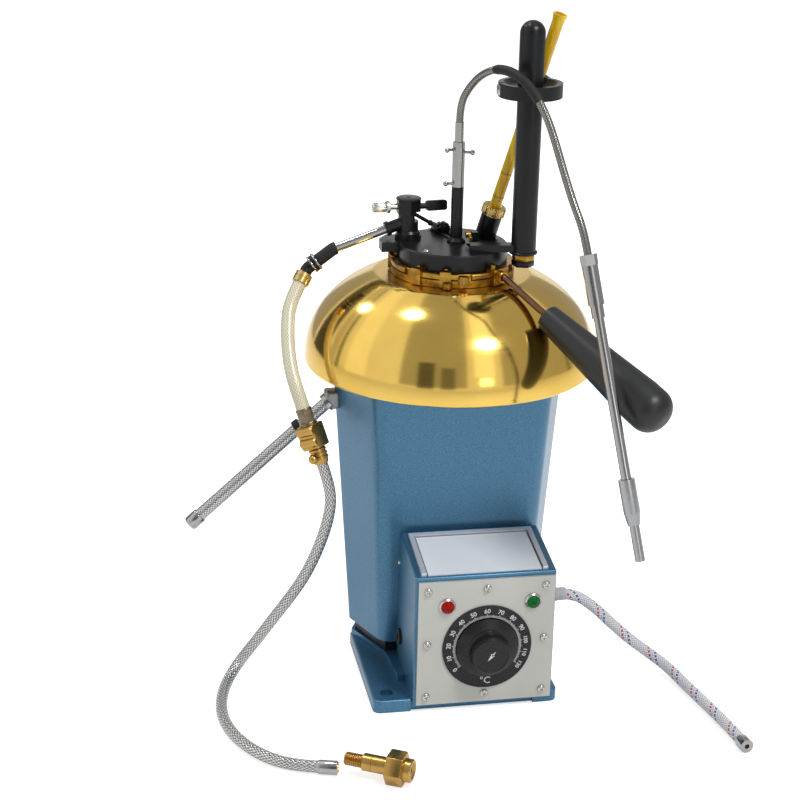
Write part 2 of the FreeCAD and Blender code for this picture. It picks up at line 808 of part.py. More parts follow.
# Air bath: an iron pot that hangs in the deck, with the heater against its floor.
def make_bath():
    keep(turned("air_bath", [
        ("0", "-bath_floor"), (BATH_RADIUS, "-bath_floor"), (BATH_RADIUS, "0"),
        ("bath_flange_radius", "0"), ("bath_flange_radius", "bath_flange_thickness"),
        (BATH_RADIUS, "bath_flange_thickness"), (BATH_RADIUS, "bath_height"),
        ("bath_cavity_radius", "bath_height"), ("bath_cavity_radius", "0"), ("0", "0"),
    ], FreeCAD.Vector(0, 0, deck_top)), "air_bath")
    middle = "(heater_bore_radius + heater_radius) / 2"
    keep(turned("heater", [
        ("heater_bore_radius", "-heater_thickness"),
        (f"{middle} - heater_groove_width / 2", "-heater_thickness"),
        (f"{middle} - heater_groove_width / 2", "heater_groove_depth - heater_thickness"),
        (f"{middle} + heater_groove_width / 2", "heater_groove_depth - heater_thickness"),
        (f"{middle} + heater_groove_width / 2", "-heater_thickness"),
        ("heater_radius", "-heater_thickness"), ("heater_radius", "0"), ("heater_bore_radius", "0"),
    ], FreeCAD.Vector(0, 0, deck_top - s.bath_floor)), "heater")


# Dome: spun brass sheet, a superelliptic bell with a flat top and a rolled lip.
def make_dome():
    rim = annulus_top - s.dome_drop
    share = SUPERELLIPSE_SHARE
    rise = s.dome_drop / (1 - (s.dome_flat_radius / s.dome_radius) ** share) ** (1 / share)

    def bell(inset, top):
        """A spline down the bell from the height top to the rim."""
        wide = s.dome_radius - inset
        tall = rise - inset
        start = math.asin(min(1, ((top - rim) / tall) ** (share / 2)))
        points = []
        for index in range(DOME_STEPS + 1):
            turn = start * (1 - index / DOME_STEPS)
            across = wide * math.cos(turn) ** (2 / share)
            points.append(FreeCAD.Vector(across, 0, rim + tall * math.sin(turn) ** (2 / share)))
        curve = Part.BSplineCurve()
        curve.interpolate(points)
        return curve.toShape(), points

    outer, outer_points = bell(0, annulus_top)
    inner, inner_points = bell(s.dome_wall, bath_top)
    hole_top = FreeCAD.Vector(s.dome_hole_radius, 0, annulus_top)
    hole_bottom = FreeCAD.Vector(s.dome_hole_radius, 0, bath_top)
    edges = [outer, Part.LineSegment(outer_points[-1], inner_points[-1]).toShape(), inner,
             Part.LineSegment(inner_points[0], hole_bottom).toShape(),
             Part.LineSegment(hole_bottom, hole_top).toShape(),
             Part.LineSegment(hole_top, outer_points[0]).toShape()]
    wire = Part.Wire(Part.__sortEdges__(edges))
    bell_solid = Part.Face(wire).revolve(ORIGIN, UP, 360)
    centre = FreeCAD.Vector(s.dome_radius - s.dome_lip_radius, 0, rim + s.dome_lip_radius / 2)
    ring = Part.Wire([Part.Circle(centre, FreeCAD.Vector(0, 1, 0), s.dome_lip_radius).toShape()])
    lip = Part.Face(ring).revolve(ORIGIN, UP, 360)
    keep(shaped("dome_cover", bell_solid.fuse(lip).removeSplitter().Solids[0]), "dome_cover")


# Cup: a deep brass cup on a wide flange, with a notched ring and lugs on top.
def make_cup():
    outer = "cup_radius + cup_wall"
    floor = "cup_flange_thickness - cup_depth"
    keep(turned("cup", [
        ("0", f"{floor} - cup_floor"), (outer, f"{floor} - cup_floor"), (outer, "0"),
        ("cup_flange_radius", "0"), ("cup_flange_radius", "cup_flange_thickness"),
        ("cup_radius", "cup_flange_thickness"), ("cup_radius", floor), ("0", floor),
    ], FreeCAD.Vector(0, 0, flange_bottom)), "cup")
    lip = "ring_lip_radius - ring_lip_wall"
    ring = turned("ring_blank", [
        ("cup_radius", "0"), ("cup_flange_radius", "0"), ("cup_flange_radius", "ring_height"),
        ("ring_lip_radius", "ring_height"), ("ring_lip_radius", "ring_height + ring_lip_height"),
        (lip, "ring_height + ring_lip_height"), (lip, "ring_height"), ("cup_radius", "ring_height"),
    ], FreeCAD.Vector(0, 0, flange_top))
    notches = []
    for angle in NOTCH_ANGLES:
        reach = heading(angle) * s.cup_flange_radius
        spot = FreeCAD.Placement(reach + UP * (flange_top - s.cut_overrun), FreeCAD.Rotation(UP, angle))
        notches.append(brick("notch", ("2 * ring_notch_depth", "ring_notch_width",
                                       "ring_height + 2 * cut_overrun"), spot))
    keep(less("cup_ring", ring, notches), "cup_ring")


NOTCH_ANGLES = (-158, -116, -76, -20, 35, 90, 145)
LUG_ANGLES = (-136, -108, 161)
handle_heading = heading(s.handle_turn - 90)


# Lugs and handle boss: small brass blocks that hook over the ring's rim.
def make_ring_fittings():
    low = flange_bottom + s.lug_gap
    tall = "cup_flange_thickness + ring_height + lug_rise - lug_gap"
    blocks = []
    for angle in LUG_ANGLES:
        middle = heading(angle) * (s.lid_radius + s.lug_gap + s.lug_reach / 2)
        spot = FreeCAD.Placement(middle + UP * low, FreeCAD.Rotation(UP, angle))
        blocks.append(brick("lug", ("lug_reach", "lug_width", tall), spot))
    middle = handle_heading * (s.lid_radius + s.lug_gap + s.boss_reach / 2)
    spot = FreeCAD.Placement(middle + UP * low, FreeCAD.Rotation(UP, s.handle_turn - 90))
    boss = brick("handle_boss", ("boss_reach", "boss_width", tall), spot)
    rim = rod("rim_space", "cup_flange_radius", "cup_flange_thickness + ring_height + cut_overrun",
              UP * (flange_bottom - s.cut_overrun))
    keep(less("ring_fittings", joined("lugs", blocks + [boss]), [rim]), "ring_fittings")


# Handle: a brass rod, level out of the boss and then sloping down, in a tapered grip.
def make_handle():
    start = handle_heading * (s.lid_radius + s.lug_gap + s.boss_reach)
    start = start + UP * (flange_top + s.handle_rod_height)
    bend = start + handle_heading * s.handle_level_run
    slope = heading(s.handle_turn - 90, s.handle_slope)
    root = bend + slope * s.handle_rod_run
    end = root + slope * (s.grip_bore_depth - s.grip_bore_gap)
    trim = s.handle_bend_radius * math.tan(math.radians(s.handle_slope / 2))
    inward = (slope - handle_heading).normalize()
    reach = s.handle_bend_radius * (1 / math.cos(math.radians(s.handle_slope / 2)) - 1)
    path = Part.Wire([
        Part.LineSegment(start, bend - handle_heading * trim).toShape(),
        Part.Arc(bend - handle_heading * trim, bend + inward * reach, bend + slope * trim).toShape(),
        Part.LineSegment(bend + slope * trim, end).toShape()])
    ring = Part.Wire([Part.Circle(start, handle_heading, s.handle_rod_radius).toShape()])
    keep(shaped("handle_rod", path.makePipeShell([ring], True, False)), "handle_rod")
    bore = "handle_rod_radius + grip_bore_gap"
    grip = turned("handle_grip", [
        (bore, "0"), ("grip_root_radius", "0"), ("grip_end_radius", "grip_swell_run"),
        ("grip_end_radius", "grip_length"), ("0", "grip_length"),
        ("0", "grip_bore_depth"), (bore, "grip_bore_depth"),
    ], root, slope)
    fillet(grip, "grip_round", lambda edge, middle: edge.Closed
           and abs(edge.BoundBox.ZMin - s.grip_length) < s.seat_gap)
    fillet(grip, "grip_root_round", lambda edge, middle: edge.Closed
           and abs(edge.BoundBox.ZMax) < s.seat_gap and edge.BoundBox.XMax > s.grip_root_radius / 2)
    keep(grip, "handle_grip")


stir_axis = FreeCAD.Vector(s.stir_across, 0, 0)
tower_axis = FreeCAD.Vector(s.tower_across, s.tower_back, 0)
thermo_lean = FreeCAD.Vector(s.thermo_lean_across, s.thermo_lean_back, s.thermo_lean_rise).normalize()
thermo_foot = FreeCAD.Vector(s.thermo_foot_across, s.thermo_foot_back, lid_top)
tower_foot = tower_axis + UP * (lid_top + s.tower_pad_height)
flame_centre = FreeCAD.Vector(s.port_across, -s.flame_back, lid_top + s.flame_rise)


# Lid: a turned disc with a rim, a side lug, the tower's pad, the flame bracket and its holes.
def make_lid():
    plate = turned("lid_blank", [
        ("0", "lid_height - lid_plate_thickness"),
        ("lid_radius - lid_rim", "lid_height - lid_plate_thickness"),
        ("lid_radius - lid_rim", "0"), ("lid_radius", "0"), ("lid_radius", "lid_height - lid_edge"),
        ("lid_radius - lid_edge", "lid_height"), ("0", "lid_height"),
    ], UP * lid_bottom)
    body = doc.addObject("PartDesign::Body", "side_lug")
    inside = "lid_radius - lid_rim"
    corners = [("-lug_plate_left", "lug_plate_front"), (f"-({inside})", "lug_plate_front"),
               ("tower_across", "tower_back"), ("tower_across", "lug_plate_back"),
               ("-lug_plate_left + lug_reach", "lug_plate_back"), ("-lug_plate_left", "tower_back")]
    pad(body, outline(body, "XY_Plane", corners), "lug_plate_thickness")
    inner = rod("lug_space", inside, "lid_height - lid_plate_thickness", UP * lid_bottom)
    body.Placement.Base = UP * (lid_top - s.lug_plate_thickness)
    lug = less("lug_outside", body, [inner])
    spot = tower_axis + UP * (lid_top - s.lid_plate_thickness)
    tower_pad = rod("tower_pad", "tower_pad_radius", "lid_plate_thickness + tower_pad_height", spot)
    side = s.flame_hub_width / 2 + s.bracket_gap + s.bracket_width / 2
    bracket_foot = FreeCAD.Vector(s.port_across + side, -s.flame_back, lid_top - s.lid_edge)
    bracket = brick("flame_bracket", ("bracket_width", "bracket_depth",
                                      "lid_edge + flame_rise + flame_hub_radius"),
                    FreeCAD.Placement(bracket_foot, FreeCAD.Rotation()))
    through = "lid_plate_thickness + tower_pad_height + 2 * cut_overrun"
    below = UP * (lid_top - s.lid_plate_thickness - s.cut_overrun)
    shaft_hole = rod("bearing_hole", "bearing_spigot_radius + stir_fit_gap", through, stir_axis + below)
    spindle_hole = rod("spindle_hole", "spindle_radius + valve_bore_gap", through, tower_axis + below)
    stem_hole = rod("stem_hole", "thermo_stem_radius + stir_fit_gap",
                    "4 * cut_overrun + lid_plate_thickness",
                    thermo_foot - thermo_lean * (s.lid_plate_thickness + 2 * s.cut_overrun), thermo_lean)
    port_middle = FreeCAD.Vector(s.port_across, -(s.port_front + s.port_back) / 2, 0)
    port = brick("port", ("port_width", "port_front - port_back", through),
                 FreeCAD.Placement(port_middle + below, FreeCAD.Rotation()))
    pin_hole = rod("pin_hole", "bracket_pin_radius", "bracket_width + 2 * cut_overrun",
                   flame_centre + FreeCAD.Vector(s.flame_hub_width / 2, 0, 0), FreeCAD.Vector(1, 0, 0))
    whole = joined("lid_whole", [plate, lug, tower_pad, bracket])
    keep(less("lid_plate", whole, [shaft_hole, spindle_hole, stem_hole, port, pin_hole]), "lid_plate")


# Stirrer: bearing tube, coupling sleeve with its ball pins, and the paddle shaft inside.
def make_stirrer():
    bore = "stir_shaft_radius + stir_running_gap"
    spigot = "-lid_plate_thickness - shutter_thickness - 2 * shutter_gap"
    keep(turned("stirrer_bearing", [
        (bore, f"{spigot} - bearing_ring_height"), ("bearing_radius", f"{spigot} - bearing_ring_height"),
        ("bearing_radius", spigot), ("bearing_spigot_radius", spigot), ("bearing_spigot_radius", "0"),
        ("bearing_foot_radius", "0"), ("bearing_foot_radius", "bearing_foot_height / 3"),
        ("bearing_radius", "bearing_foot_height"), ("bearing_radius", "bearing_height"),
        (bore, "bearing_height"),
    ], stir_axis + UP * lid_top), "stirrer_bearing")
    top = "sleeve_height + sleeve_neck_height"
    foot = stir_axis + UP * (lid_top + s.bearing_height)
    blank = turned("sleeve_blank", [
        (bore, "0"), ("sleeve_radius", "0"), ("sleeve_radius", "sleeve_height"),
        ("sleeve_neck_radius", "sleeve_height"), ("sleeve_neck_radius", top), ("0", top),
        ("0", "stir_shaft_top + cut_overrun / 2"), (bore, "stir_shaft_top + cut_overrun / 2"),
    ], foot)
    pins = []
    for angle, height in PIN_PLACES:
        spot = foot + UP * height
        start = spot + heading(angle) * (s.sleeve_radius - s.sleeve_pin_radius)
        pins.append(rod("pin", "sleeve_pin_radius", "sleeve_pin_reach", start, heading(angle)))
        ball = doc.addObject("Part::Sphere", "pin_ball")
        bind(ball, "Radius", "sleeve_pin_ball_radius")
        ball.Placement.Base = start + heading(angle) * s.sleeve_pin_reach
        pins.append(ball)
    keep(joined("coupling_sleeve", [blank] + pins), "coupling_sleeve")
    hub = "paddle_hub_radius"
    shaft = turned("stir_shaft", [
        ("0", "-stir_depth"), ("stir_shaft_radius", "-stir_depth"),
        ("stir_shaft_radius", "bearing_height + stir_shaft_top"), ("0", "bearing_height + stir_shaft_top"),
    ], stir_axis + UP * lid_top)
    pieces = [shaft]
    for drop in (s.stir_depth, s.paddle_upper_drop):
        level = stir_axis + UP * (lid_top - drop)
        pieces.append(rod("hub", hub, "paddle_height", level))
        pieces.append(brick("blade", ("2 * paddle_radius", "paddle_thickness", "paddle_height"),
                            FreeCAD.Placement(level, FreeCAD.Rotation())))
    keep(joined("stirrer", pieces), "stirrer")


PIN_PLACES = ((200, s.sleeve_height - s.sleeve_pin_drop), (-20, s.sleeve_height - 1.4 * s.sleeve_pin_drop),
              (195, s.sleeve_pin_drop / 2))


# Shutter: a sector plate round the bearing's spigot that covers the port at rest.
def make_shutter():
    thickness = "shutter_thickness"
    level = stir_axis + UP * (lid_top - s.lid_plate_thickness - s.shutter_gap - s.shutter_thickness)
    sector = doc.addObject("Part::Cylinder", "sector")
    bind(sector, "Radius", "shutter_radius")
    bind(sector, "Height", thickness)
    bind(sector, "Angle", "2 * shutter_half_angle")
    first_edge = s.shutter_centre_angle - s.shutter_half_angle
    sector.Placement = FreeCAD.Placement(level, FreeCAD.Rotation(UP, first_edge))
    hub = rod("shutter_hub", "shutter_hub_radius", thickness, level)
    hole = rod("shutter_hole", "bearing_spigot_radius + stir_fit_gap", f"{thickness} + 2 * cut_overrun",
               level - UP * s.cut_overrun)
    keep(less("shutter", joined("shutter_blank", [sector, hub]), [hole]), "shutter")


# Gas tower: a turned valve body with a hexagonal head, a side inlet and a slot for the lever.
gas_root = tower_foot + UP * (s.inlet_rise - s.tower_pad_height)
inlet_heading = (FreeCAD.Vector(gas_tube_line[0]) - gas_root).normalize()
needle_heading = heading(s.needle_turn)
wing_heading = heading(s.wing_turn)
lever_heading = heading(s.lever_angle, s.lever_slope)


def make_tower():
    column = turned("tower_column", [
        ("0", "0"), ("tower_foot_radius", "0"), ("tower_foot_radius", "tower_foot_height / 2"),
        ("tower_radius", "tower_foot_height"), ("tower_radius", "tower_height"), ("0", "tower_height"),
    ], tower_foot)
    head_foot = tower_foot + UP * s.tower_height
    head = six_sided("tower_head", "tower_head_radius", "tower_head_height", head_foot, UP,
                     s.hexagon_turn)
    inlet = rod("inlet", "inlet_radius", "inlet_reach", gas_root, inlet_heading)
    ring_start = gas_root + inlet_heading * (s.inlet_reach - s.inlet_ring_width)
    ring = rod("inlet_ring", "inlet_ring_radius", "inlet_ring_width", ring_start, inlet_heading)
    bore = rod("spindle_bore", "spindle_radius + valve_bore_gap", "spindle_top + seat_gap + cut_overrun",
               tower_foot - UP * s.cut_overrun)
    tube_start = gas_root + inlet_heading * (s.inlet_reach - s.inlet_bore_depth)
    tube_bore = rod("tube_bore", "tube_radius + valve_bore_gap", "inlet_bore_depth + cut_overrun",
                    tube_start, inlet_heading)
    slot = doc.addObject("Part::Cylinder", "lever_slot")
    bind(slot, "Radius", "tower_foot_radius + cut_overrun")
    bind(slot, "Height", "tower_slot_height")
    bind(slot, "Angle", "tower_slot_high_angle - tower_slot_low_angle")
    slot.Placement = FreeCAD.Placement(tower_foot + UP * s.tower_slot_low,
                                       FreeCAD.Rotation(UP, s.tower_slot_low_angle))
    valve_bores = []
    for direction, rise, radius in ((needle_heading, s.needle_rise, "needle_stem_radius"),
                                    (wing_heading, s.wing_rise, "wing_neck_radius")):
        start = tower_foot + UP * rise + direction * (s.tower_head_radius - s.valve_seat_depth)
        valve_bores.append(rod("valve_bore", f"{radius} + valve_bore_gap",
                               "valve_seat_depth + cut_overrun", start, direction))
    solid = joined("tower_solid", [column, head, inlet, ring])
    keep(less("flame_tower", solid, [bore, tube_bore, slot] + valve_bores), "flame_tower")


# Lever spindle: turns in the tower, with the pin lever outside and the shutter's crank below.
def make_spindle():
    spindle = turned("spindle", [
        ("0", "-spindle_foot"), ("spindle_radius", "-spindle_foot"), ("spindle_radius", "spindle_top"),
        ("0", "spindle_top"),
    ], tower_foot)
    lever_start = tower_foot + UP * s.lever_rise
    length = "lever_reach / cos(lever_slope)"
    pin = rod("lever_pin", "lever_pin_radius", length, lever_start, lever_heading)
    ball = doc.addObject("Part::Sphere", "lever_ball")
    bind(ball, "Radius", "lever_ball_radius")
    ball.Placement.Base = lever_start + lever_heading * (
        s.lever_reach / math.cos(math.radians(s.lever_slope)))
    crank_level = tower_foot - UP * s.spindle_foot
    inward = (stir_axis - tower_axis).normalize()
    middle = crank_level + inward * (s.crank_length / 2)
    turn = math.degrees(math.atan2(inward.y, inward.x))
    crank = brick("crank", ("crank_length", "crank_width", "crank_thickness"),
                  FreeCAD.Placement(middle, FreeCAD.Rotation(UP, turn)))
    foot = rod("crank_eye", "spindle_radius", "crank_thickness", crank_level)
    keep(joined("lever_spindle", [spindle, pin, ball, crank, foot]), "lever_spindle")


# Valves on the tower's head: the knurled needle knob and the flat wing lever.
def make_valves():
    start = tower_foot + UP * s.needle_rise + needle_heading * (
        s.tower_head_radius - s.valve_seat_depth + s.seat_gap)
    stem = "valve_seat_depth + needle_stem_length"
    keep(turned("needle_knob", [
        ("0", "0"), ("needle_stem_radius", "0"), ("needle_stem_radius", stem),
        ("needle_ring_radius", stem), ("needle_ring_radius", f"{stem} + needle_ring_width"),
        ("needle_knob_radius", f"{stem} + needle_ring_width"),
        ("needle_knob_radius", f"{stem} + needle_ring_width + needle_knob_length"),
        ("0", f"{stem} + needle_ring_width + needle_knob_length"),
    ], start, needle_heading), "needle_knob")
    start = tower_foot + UP * s.wing_rise + wing_heading * (
        s.tower_head_radius - s.valve_seat_depth + s.seat_gap)
    neck = rod("wing_neck", "wing_neck_radius", "valve_seat_depth + wing_neck_length + wing_length / 2",
               start, wing_heading)
    blade_start = start + wing_heading * (s.valve_seat_depth + s.wing_neck_length)
    blade = brick("wing_blade", ("wing_height", "wing_thickness", "wing_length"),
                  along(blade_start, wing_heading))
    fillet(blade, "wing_thickness / 2.2", lambda edge, middle: edge.BoundBox.YLength > s.seat_gap)
    keep(joined("gas_wing", [neck, blade]), "gas_wing")


# Flame tip: a small bent tube on a cross pin, dipped through the port by the lever.
def make_flame_tip():
    side = FreeCAD.Vector(1, 0, 0)
    front = FreeCAD.Vector(0, -1, 0)
    hub = rod("flame_hub", "flame_hub_radius", "flame_hub_width",
              flame_centre - side * (s.flame_hub_width / 2), side)
    pin = rod("flame_pin", "bracket_pin_radius - valve_bore_gap",
              "flame_hub_width / 2 + bracket_gap + bracket_width", flame_centre, side)
    arm = rod("flame_arm", "flame_tube_radius", "flame_reach", flame_centre, front)
    corner = flame_centre + front * s.flame_reach
    bend = doc.addObject("Part::Sphere", "flame_bend")
    bind(bend, "Radius", "flame_tube_radius")
    bend.Placement.Base = corner
    nose = rod("flame_nose", "flame_tube_radius", "flame_nose", corner, UP * -1)
    keep(joined("flame_tip", [hub, pin, arm, bend, nose]), "flame_tip")


# Gas line: steel tube, rubber sleeve, elbow with its nut, and the hose's top ferrule.
def make_gas_line():
    tube_start = gas_root + inlet_heading * (s.inlet_reach - s.inlet_bore_depth)
    length = (FreeCAD.Vector(gas_tube_line[0]) - tube_start).Length
    keep(shaped("gas_tube", Part.makeCylinder(s.tube_radius, length, tube_start, inlet_heading)),
         "gas_tube")
    sleeve_end = step(gas_tube_line, 1, 2)
    path, radii = tube_path(gas_tube_line)
    ring = Part.Wire([Part.Circle(FreeCAD.Vector(gas_tube_line[0]), step(gas_tube_line, 0, 1),
                                  s.sleeve_hose_radius).toShape()])
    keep(shaped("tube_sleeve", path.makePipeShell([ring], True, False)), "tube_sleeve")
    nut_start = FreeCAD.Vector(gas_tube_line[-1])
    hose_heading = step(upper_hose, 0, 1)
    ferrule_top = FreeCAD.Vector(upper_hose[0]) - hose_heading * s.top_ferrule_length
    inside = nut_start + sleeve_end * (s.elbow_nut_width / 2)
    corner = ferrule_top - hose_heading * s.elbow_corner
    path, radii = tube_path([inside, corner, ferrule_top])
    ring = Part.Wire([Part.Circle(inside, (corner - inside).normalize(), s.elbow_radius).toShape()])
    elbow = shaped("elbow_pipe", path.makePipeShell([ring], True, False))
    nut = rod("elbow_nut", "elbow_nut_radius", "elbow_nut_width", nut_start, sleeve_end)
    keep(joined("hose_elbow", [elbow, nut]), "hose_elbow")
    groove = "top_ferrule_length / 2"
    keep(turned("top_ferrule", [
        ("0", "0"), ("elbow_radius", "0"), ("top_ferrule_radius", "top_ferrule_length / 6"),
        ("top_ferrule_radius", groove), ("upper_hose_radius", groove),
        ("upper_hose_radius", f"{groove} + seat_gap"), ("top_ferrule_radius", f"{groove} + seat_gap"),
        ("top_ferrule_radius", "top_ferrule_length"), ("0", "top_ferrule_length"),
    ], ferrule_top, hose_heading), "top_ferrule")


# Hose coupling: a faceted ferrule, a square brass block, a ringed tail and a thumb screw.
def make_coupling():
    start = FreeCAD.Vector(upper_hose[-1])
    end = FreeCAD.Vector(lower_hose[0])
    direction = (end - start).normalize()
    top = six_sided("coupling_top", "coupling_ferrule_radius", "coupling_ferrule_length", start, direction)
    block_start = start + direction * s.coupling_ferrule_length
    block = brick("coupling_block", ("coupling_block_side", "coupling_block_side",
                                     "coupling_block_length"), along(block_start, direction))
    fillet(block, "coupling_block_side / 6",
           lambda edge, middle: edge.BoundBox.ZLength > s.coupling_block_side / 2)
    tail_start = block_start + direction * s.coupling_block_length
    tail_length = (end - tail_start).Length
    tail = shaped("coupling_tail", Part.makeCylinder(s.coupling_tail_radius, tail_length, tail_start,
                                                     direction))
    knob_heading = heading(s.coupling_knob_turn)
    knob_start = tail_start + direction * (tail_length * 0.5)
    screw = rod("coupling_screw", "coupling_knob_radius / 2", "coupling_knob_reach", knob_start,
                knob_heading)
    knob = doc.addObject("Part::Sphere", "coupling_knob")
    bind(knob, "Radius", "coupling_knob_radius")
    knob.Placement.Base = knob_start + knob_heading * s.coupling_knob_reach
    keep(joined("hose_coupling", [top, block, tail, screw, knob]), "hose_coupling")


def end_piece(label, route, radius, length, bore):
    """A bored ferrule on a cord's free end."""
    lip = f"{length} / 6"
    keep(turned(label, [
        ("0", "0"), (f"{radius} - {bore} / 3", "0"), (radius, lip), (radius, length), (bore, length),
        (bore, f"{length} / 2"), ("0", f"{length} / 2"),
    ], FreeCAD.Vector(route[-1]), step(route, -2, -1)), label)


# Thermometer: a tinted tube with a flared mouth, in a leaning socket with a knurled nut.
def make_thermometer():
    tube_foot = "thermo_socket_foot"
    flare = "thermo_length + thermo_socket_foot - thermo_mouth_length"
    top = "thermo_length + thermo_socket_foot"
    inner = "thermo_radius - thermo_wall"
    keep(turned("thermometer_tube", [
        ("0", "-thermo_stem_length"), ("thermo_stem_radius", "-thermo_stem_length"),
        ("thermo_stem_radius", tube_foot), ("thermo_radius", tube_foot), ("thermo_radius", flare),
        ("thermo_mouth_radius", top), ("thermo_mouth_radius - thermo_wall", top), (inner, flare),
        (inner, f"{tube_foot} + thermo_wall"), ("0", f"{tube_foot} + thermo_wall"),
    ], thermo_foot, thermo_lean), "thermometer_tube")
    blank = rod("socket_blank", "thermo_socket_radius", "thermo_socket_length + cut_overrun",
                thermo_foot - thermo_lean * s.cut_overrun, thermo_lean)
    bore = turned("socket_bore", [
        ("0", "-2 * cut_overrun"), ("thermo_stem_radius + stir_fit_gap", "-2 * cut_overrun"),
        ("thermo_stem_radius + stir_fit_gap", tube_foot), ("thermo_radius + thermo_fit_gap", tube_foot),
        ("thermo_radius + thermo_fit_gap", "thermo_socket_length + cut_overrun"),
        ("0", "thermo_socket_length + cut_overrun"),
    ], thermo_foot, thermo_lean)
    under = brick("socket_under", ("4 * thermo_socket_radius", "4 * thermo_socket_radius",
                                   "4 * cut_overrun"),
                  FreeCAD.Placement(thermo_foot - UP * (4 * s.cut_overrun), FreeCAD.Rotation()))
    keep(less("thermometer_socket", blank, [bore, under]), "thermometer_socket")
    nut_start = thermo_foot + thermo_lean * (s.thermo_socket_length + s.seat_gap)
    bore = "thermo_radius + thermo_fit_gap"
    keep(turned("thermometer_nut", [
        (bore, "0"), ("thermo_nut_radius", "0"), ("thermo_nut_radius", "thermo_nut_length - lid_edge"),
        ("thermo_nut_radius - lid_edge", "thermo_nut_length"), (bore, "thermo_nut_length"),
    ], nut_start, thermo_lean), "thermometer_nut")


# Post: a domed black column beside the lid, on a flat bar, held by two nuts on its stud.
post_axis = FreeCAD.Vector(s.post_across, -s.post_front, 0)
post_foot = lid_top - s.post_drop


def make_post():
    height = "post_length"
    keep(turned("support_post", [
        ("0", "-post_stud_length"), ("post_stud_radius", "-post_stud_length"), ("post_stud_radius", "0"),
        ("post_radius", "0"), ("post_radius", f"{height} - post_dome_height"),
        ("post_radius * 0.8", f"{height} - post_dome_height / 3"), ("0", height),
    ], post_axis + UP * post_foot), "support_post")
    level = post_axis + UP * post_foot
    nuts = []
    for name, drop, tall in (("brass_nut", s.brass_nut_height, "brass_nut_height"),
                             ("lock_nut", s.brass_nut_height + s.lock_nut_height, "lock_nut_height")):
        blank = six_sided(f"{name}_blank", "nut_corner_radius", tall, level - UP * drop)
        hole = rod(f"{name}_hole", "post_stud_radius + thermo_fit_gap", f"{tall} + 2 * cut_overrun",
                   level - UP * (drop + s.cut_overrun))
        nuts.append(less(name, blank, [hole]))
    keep(shaped("post_nuts", compound_of(nuts)), "post_nuts")
    start = FreeCAD.Vector(s.bar_start_across, -s.bar_start_front, 0)
    run = post_axis - start
    turn = math.degrees(math.atan2(run.y, run.x))
    middle = start + run / 2 + UP * lid_top
    bar = doc.addObject("PartDesign::Body", "bar_blank")
    half = f"{run.Length} / 2"
    pad(bar, outline(bar, "XY_Plane", [
        (f"-{half}", "-bar_width / 2"), (half, "-bar_width / 2"), (half, "bar_width / 2"),
        (f"-{half}", "bar_width / 2")]), "bar_thickness")
    bar.Placement = FreeCAD.Placement(middle, FreeCAD.Rotation(UP, turn))
    space = rod("post_space", "post_radius", "bar_thickness + 2 * cut_overrun",
                post_axis + UP * (lid_top - s.cut_overrun))
    keep(less("post_bar", bar, [space]), "post_bar")


def compound_of(pieces):
    """The solids of several finished pieces in one node."""
    doc.recompute()
    return Part.makeCompound([solid for piece in pieces for solid in piece.Shape.Solids])


# Collar: a dished clamp disc round the post, with an ear that guides the thermometer.
def make_collar():
    foot = post_axis + UP * s.collar_bottom
    disc = turned("collar_disc", [
        ("0", "0"), ("collar_radius", "0"), ("collar_radius", "collar_height"),
        ("collar_dish_radius", "collar_height"),
        ("collar_dish_radius * 0.8", "collar_height - collar_dish_depth"),
        ("0", "collar_height - collar_dish_depth"),
    ], foot)
    rise = (s.collar_bottom + s.collar_height - lid_top) / thermo_lean.z
    ear_axis = thermo_foot + thermo_lean * rise
    ear_foot = FreeCAD.Vector(ear_axis.x, ear_axis.y, s.collar_bottom)
    ear = rod("collar_ear", "collar_ear_radius", "collar_height", ear_foot)
    bush = rod("collar_bush", "collar_bush_radius", "collar_bush_height + collar_height / 2",
               ear_axis - thermo_lean * (s.collar_height / 2), thermo_lean)
    post_bore = rod("post_bore", "post_radius + thermo_fit_gap", "collar_height + 2 * cut_overrun",
                    foot - UP * s.cut_overrun)
    tube_bore = rod("guide_bore", "thermo_radius + thermo_fit_gap", "2 * collar_height + 2 * cut_overrun",
                    ear_axis - thermo_lean * (s.collar_height + s.cut_overrun), thermo_lean)
    slot_start = post_axis - FreeCAD.Vector(s.collar_radius, 0, 0)
    slot = brick("collar_slot", ("2 * (collar_radius - post_radius)", "collar_slot_width",
                                 "collar_height + 2 * cut_overrun"),
                 FreeCAD.Placement(slot_start + UP * (s.collar_bottom - s.cut_overrun), FreeCAD.Rotation()))
    whole = joined("collar_whole", [disc, ear, bush])
    keep(less("post_collar", whole, [post_bore, tube_bore, slot]), "post_collar")


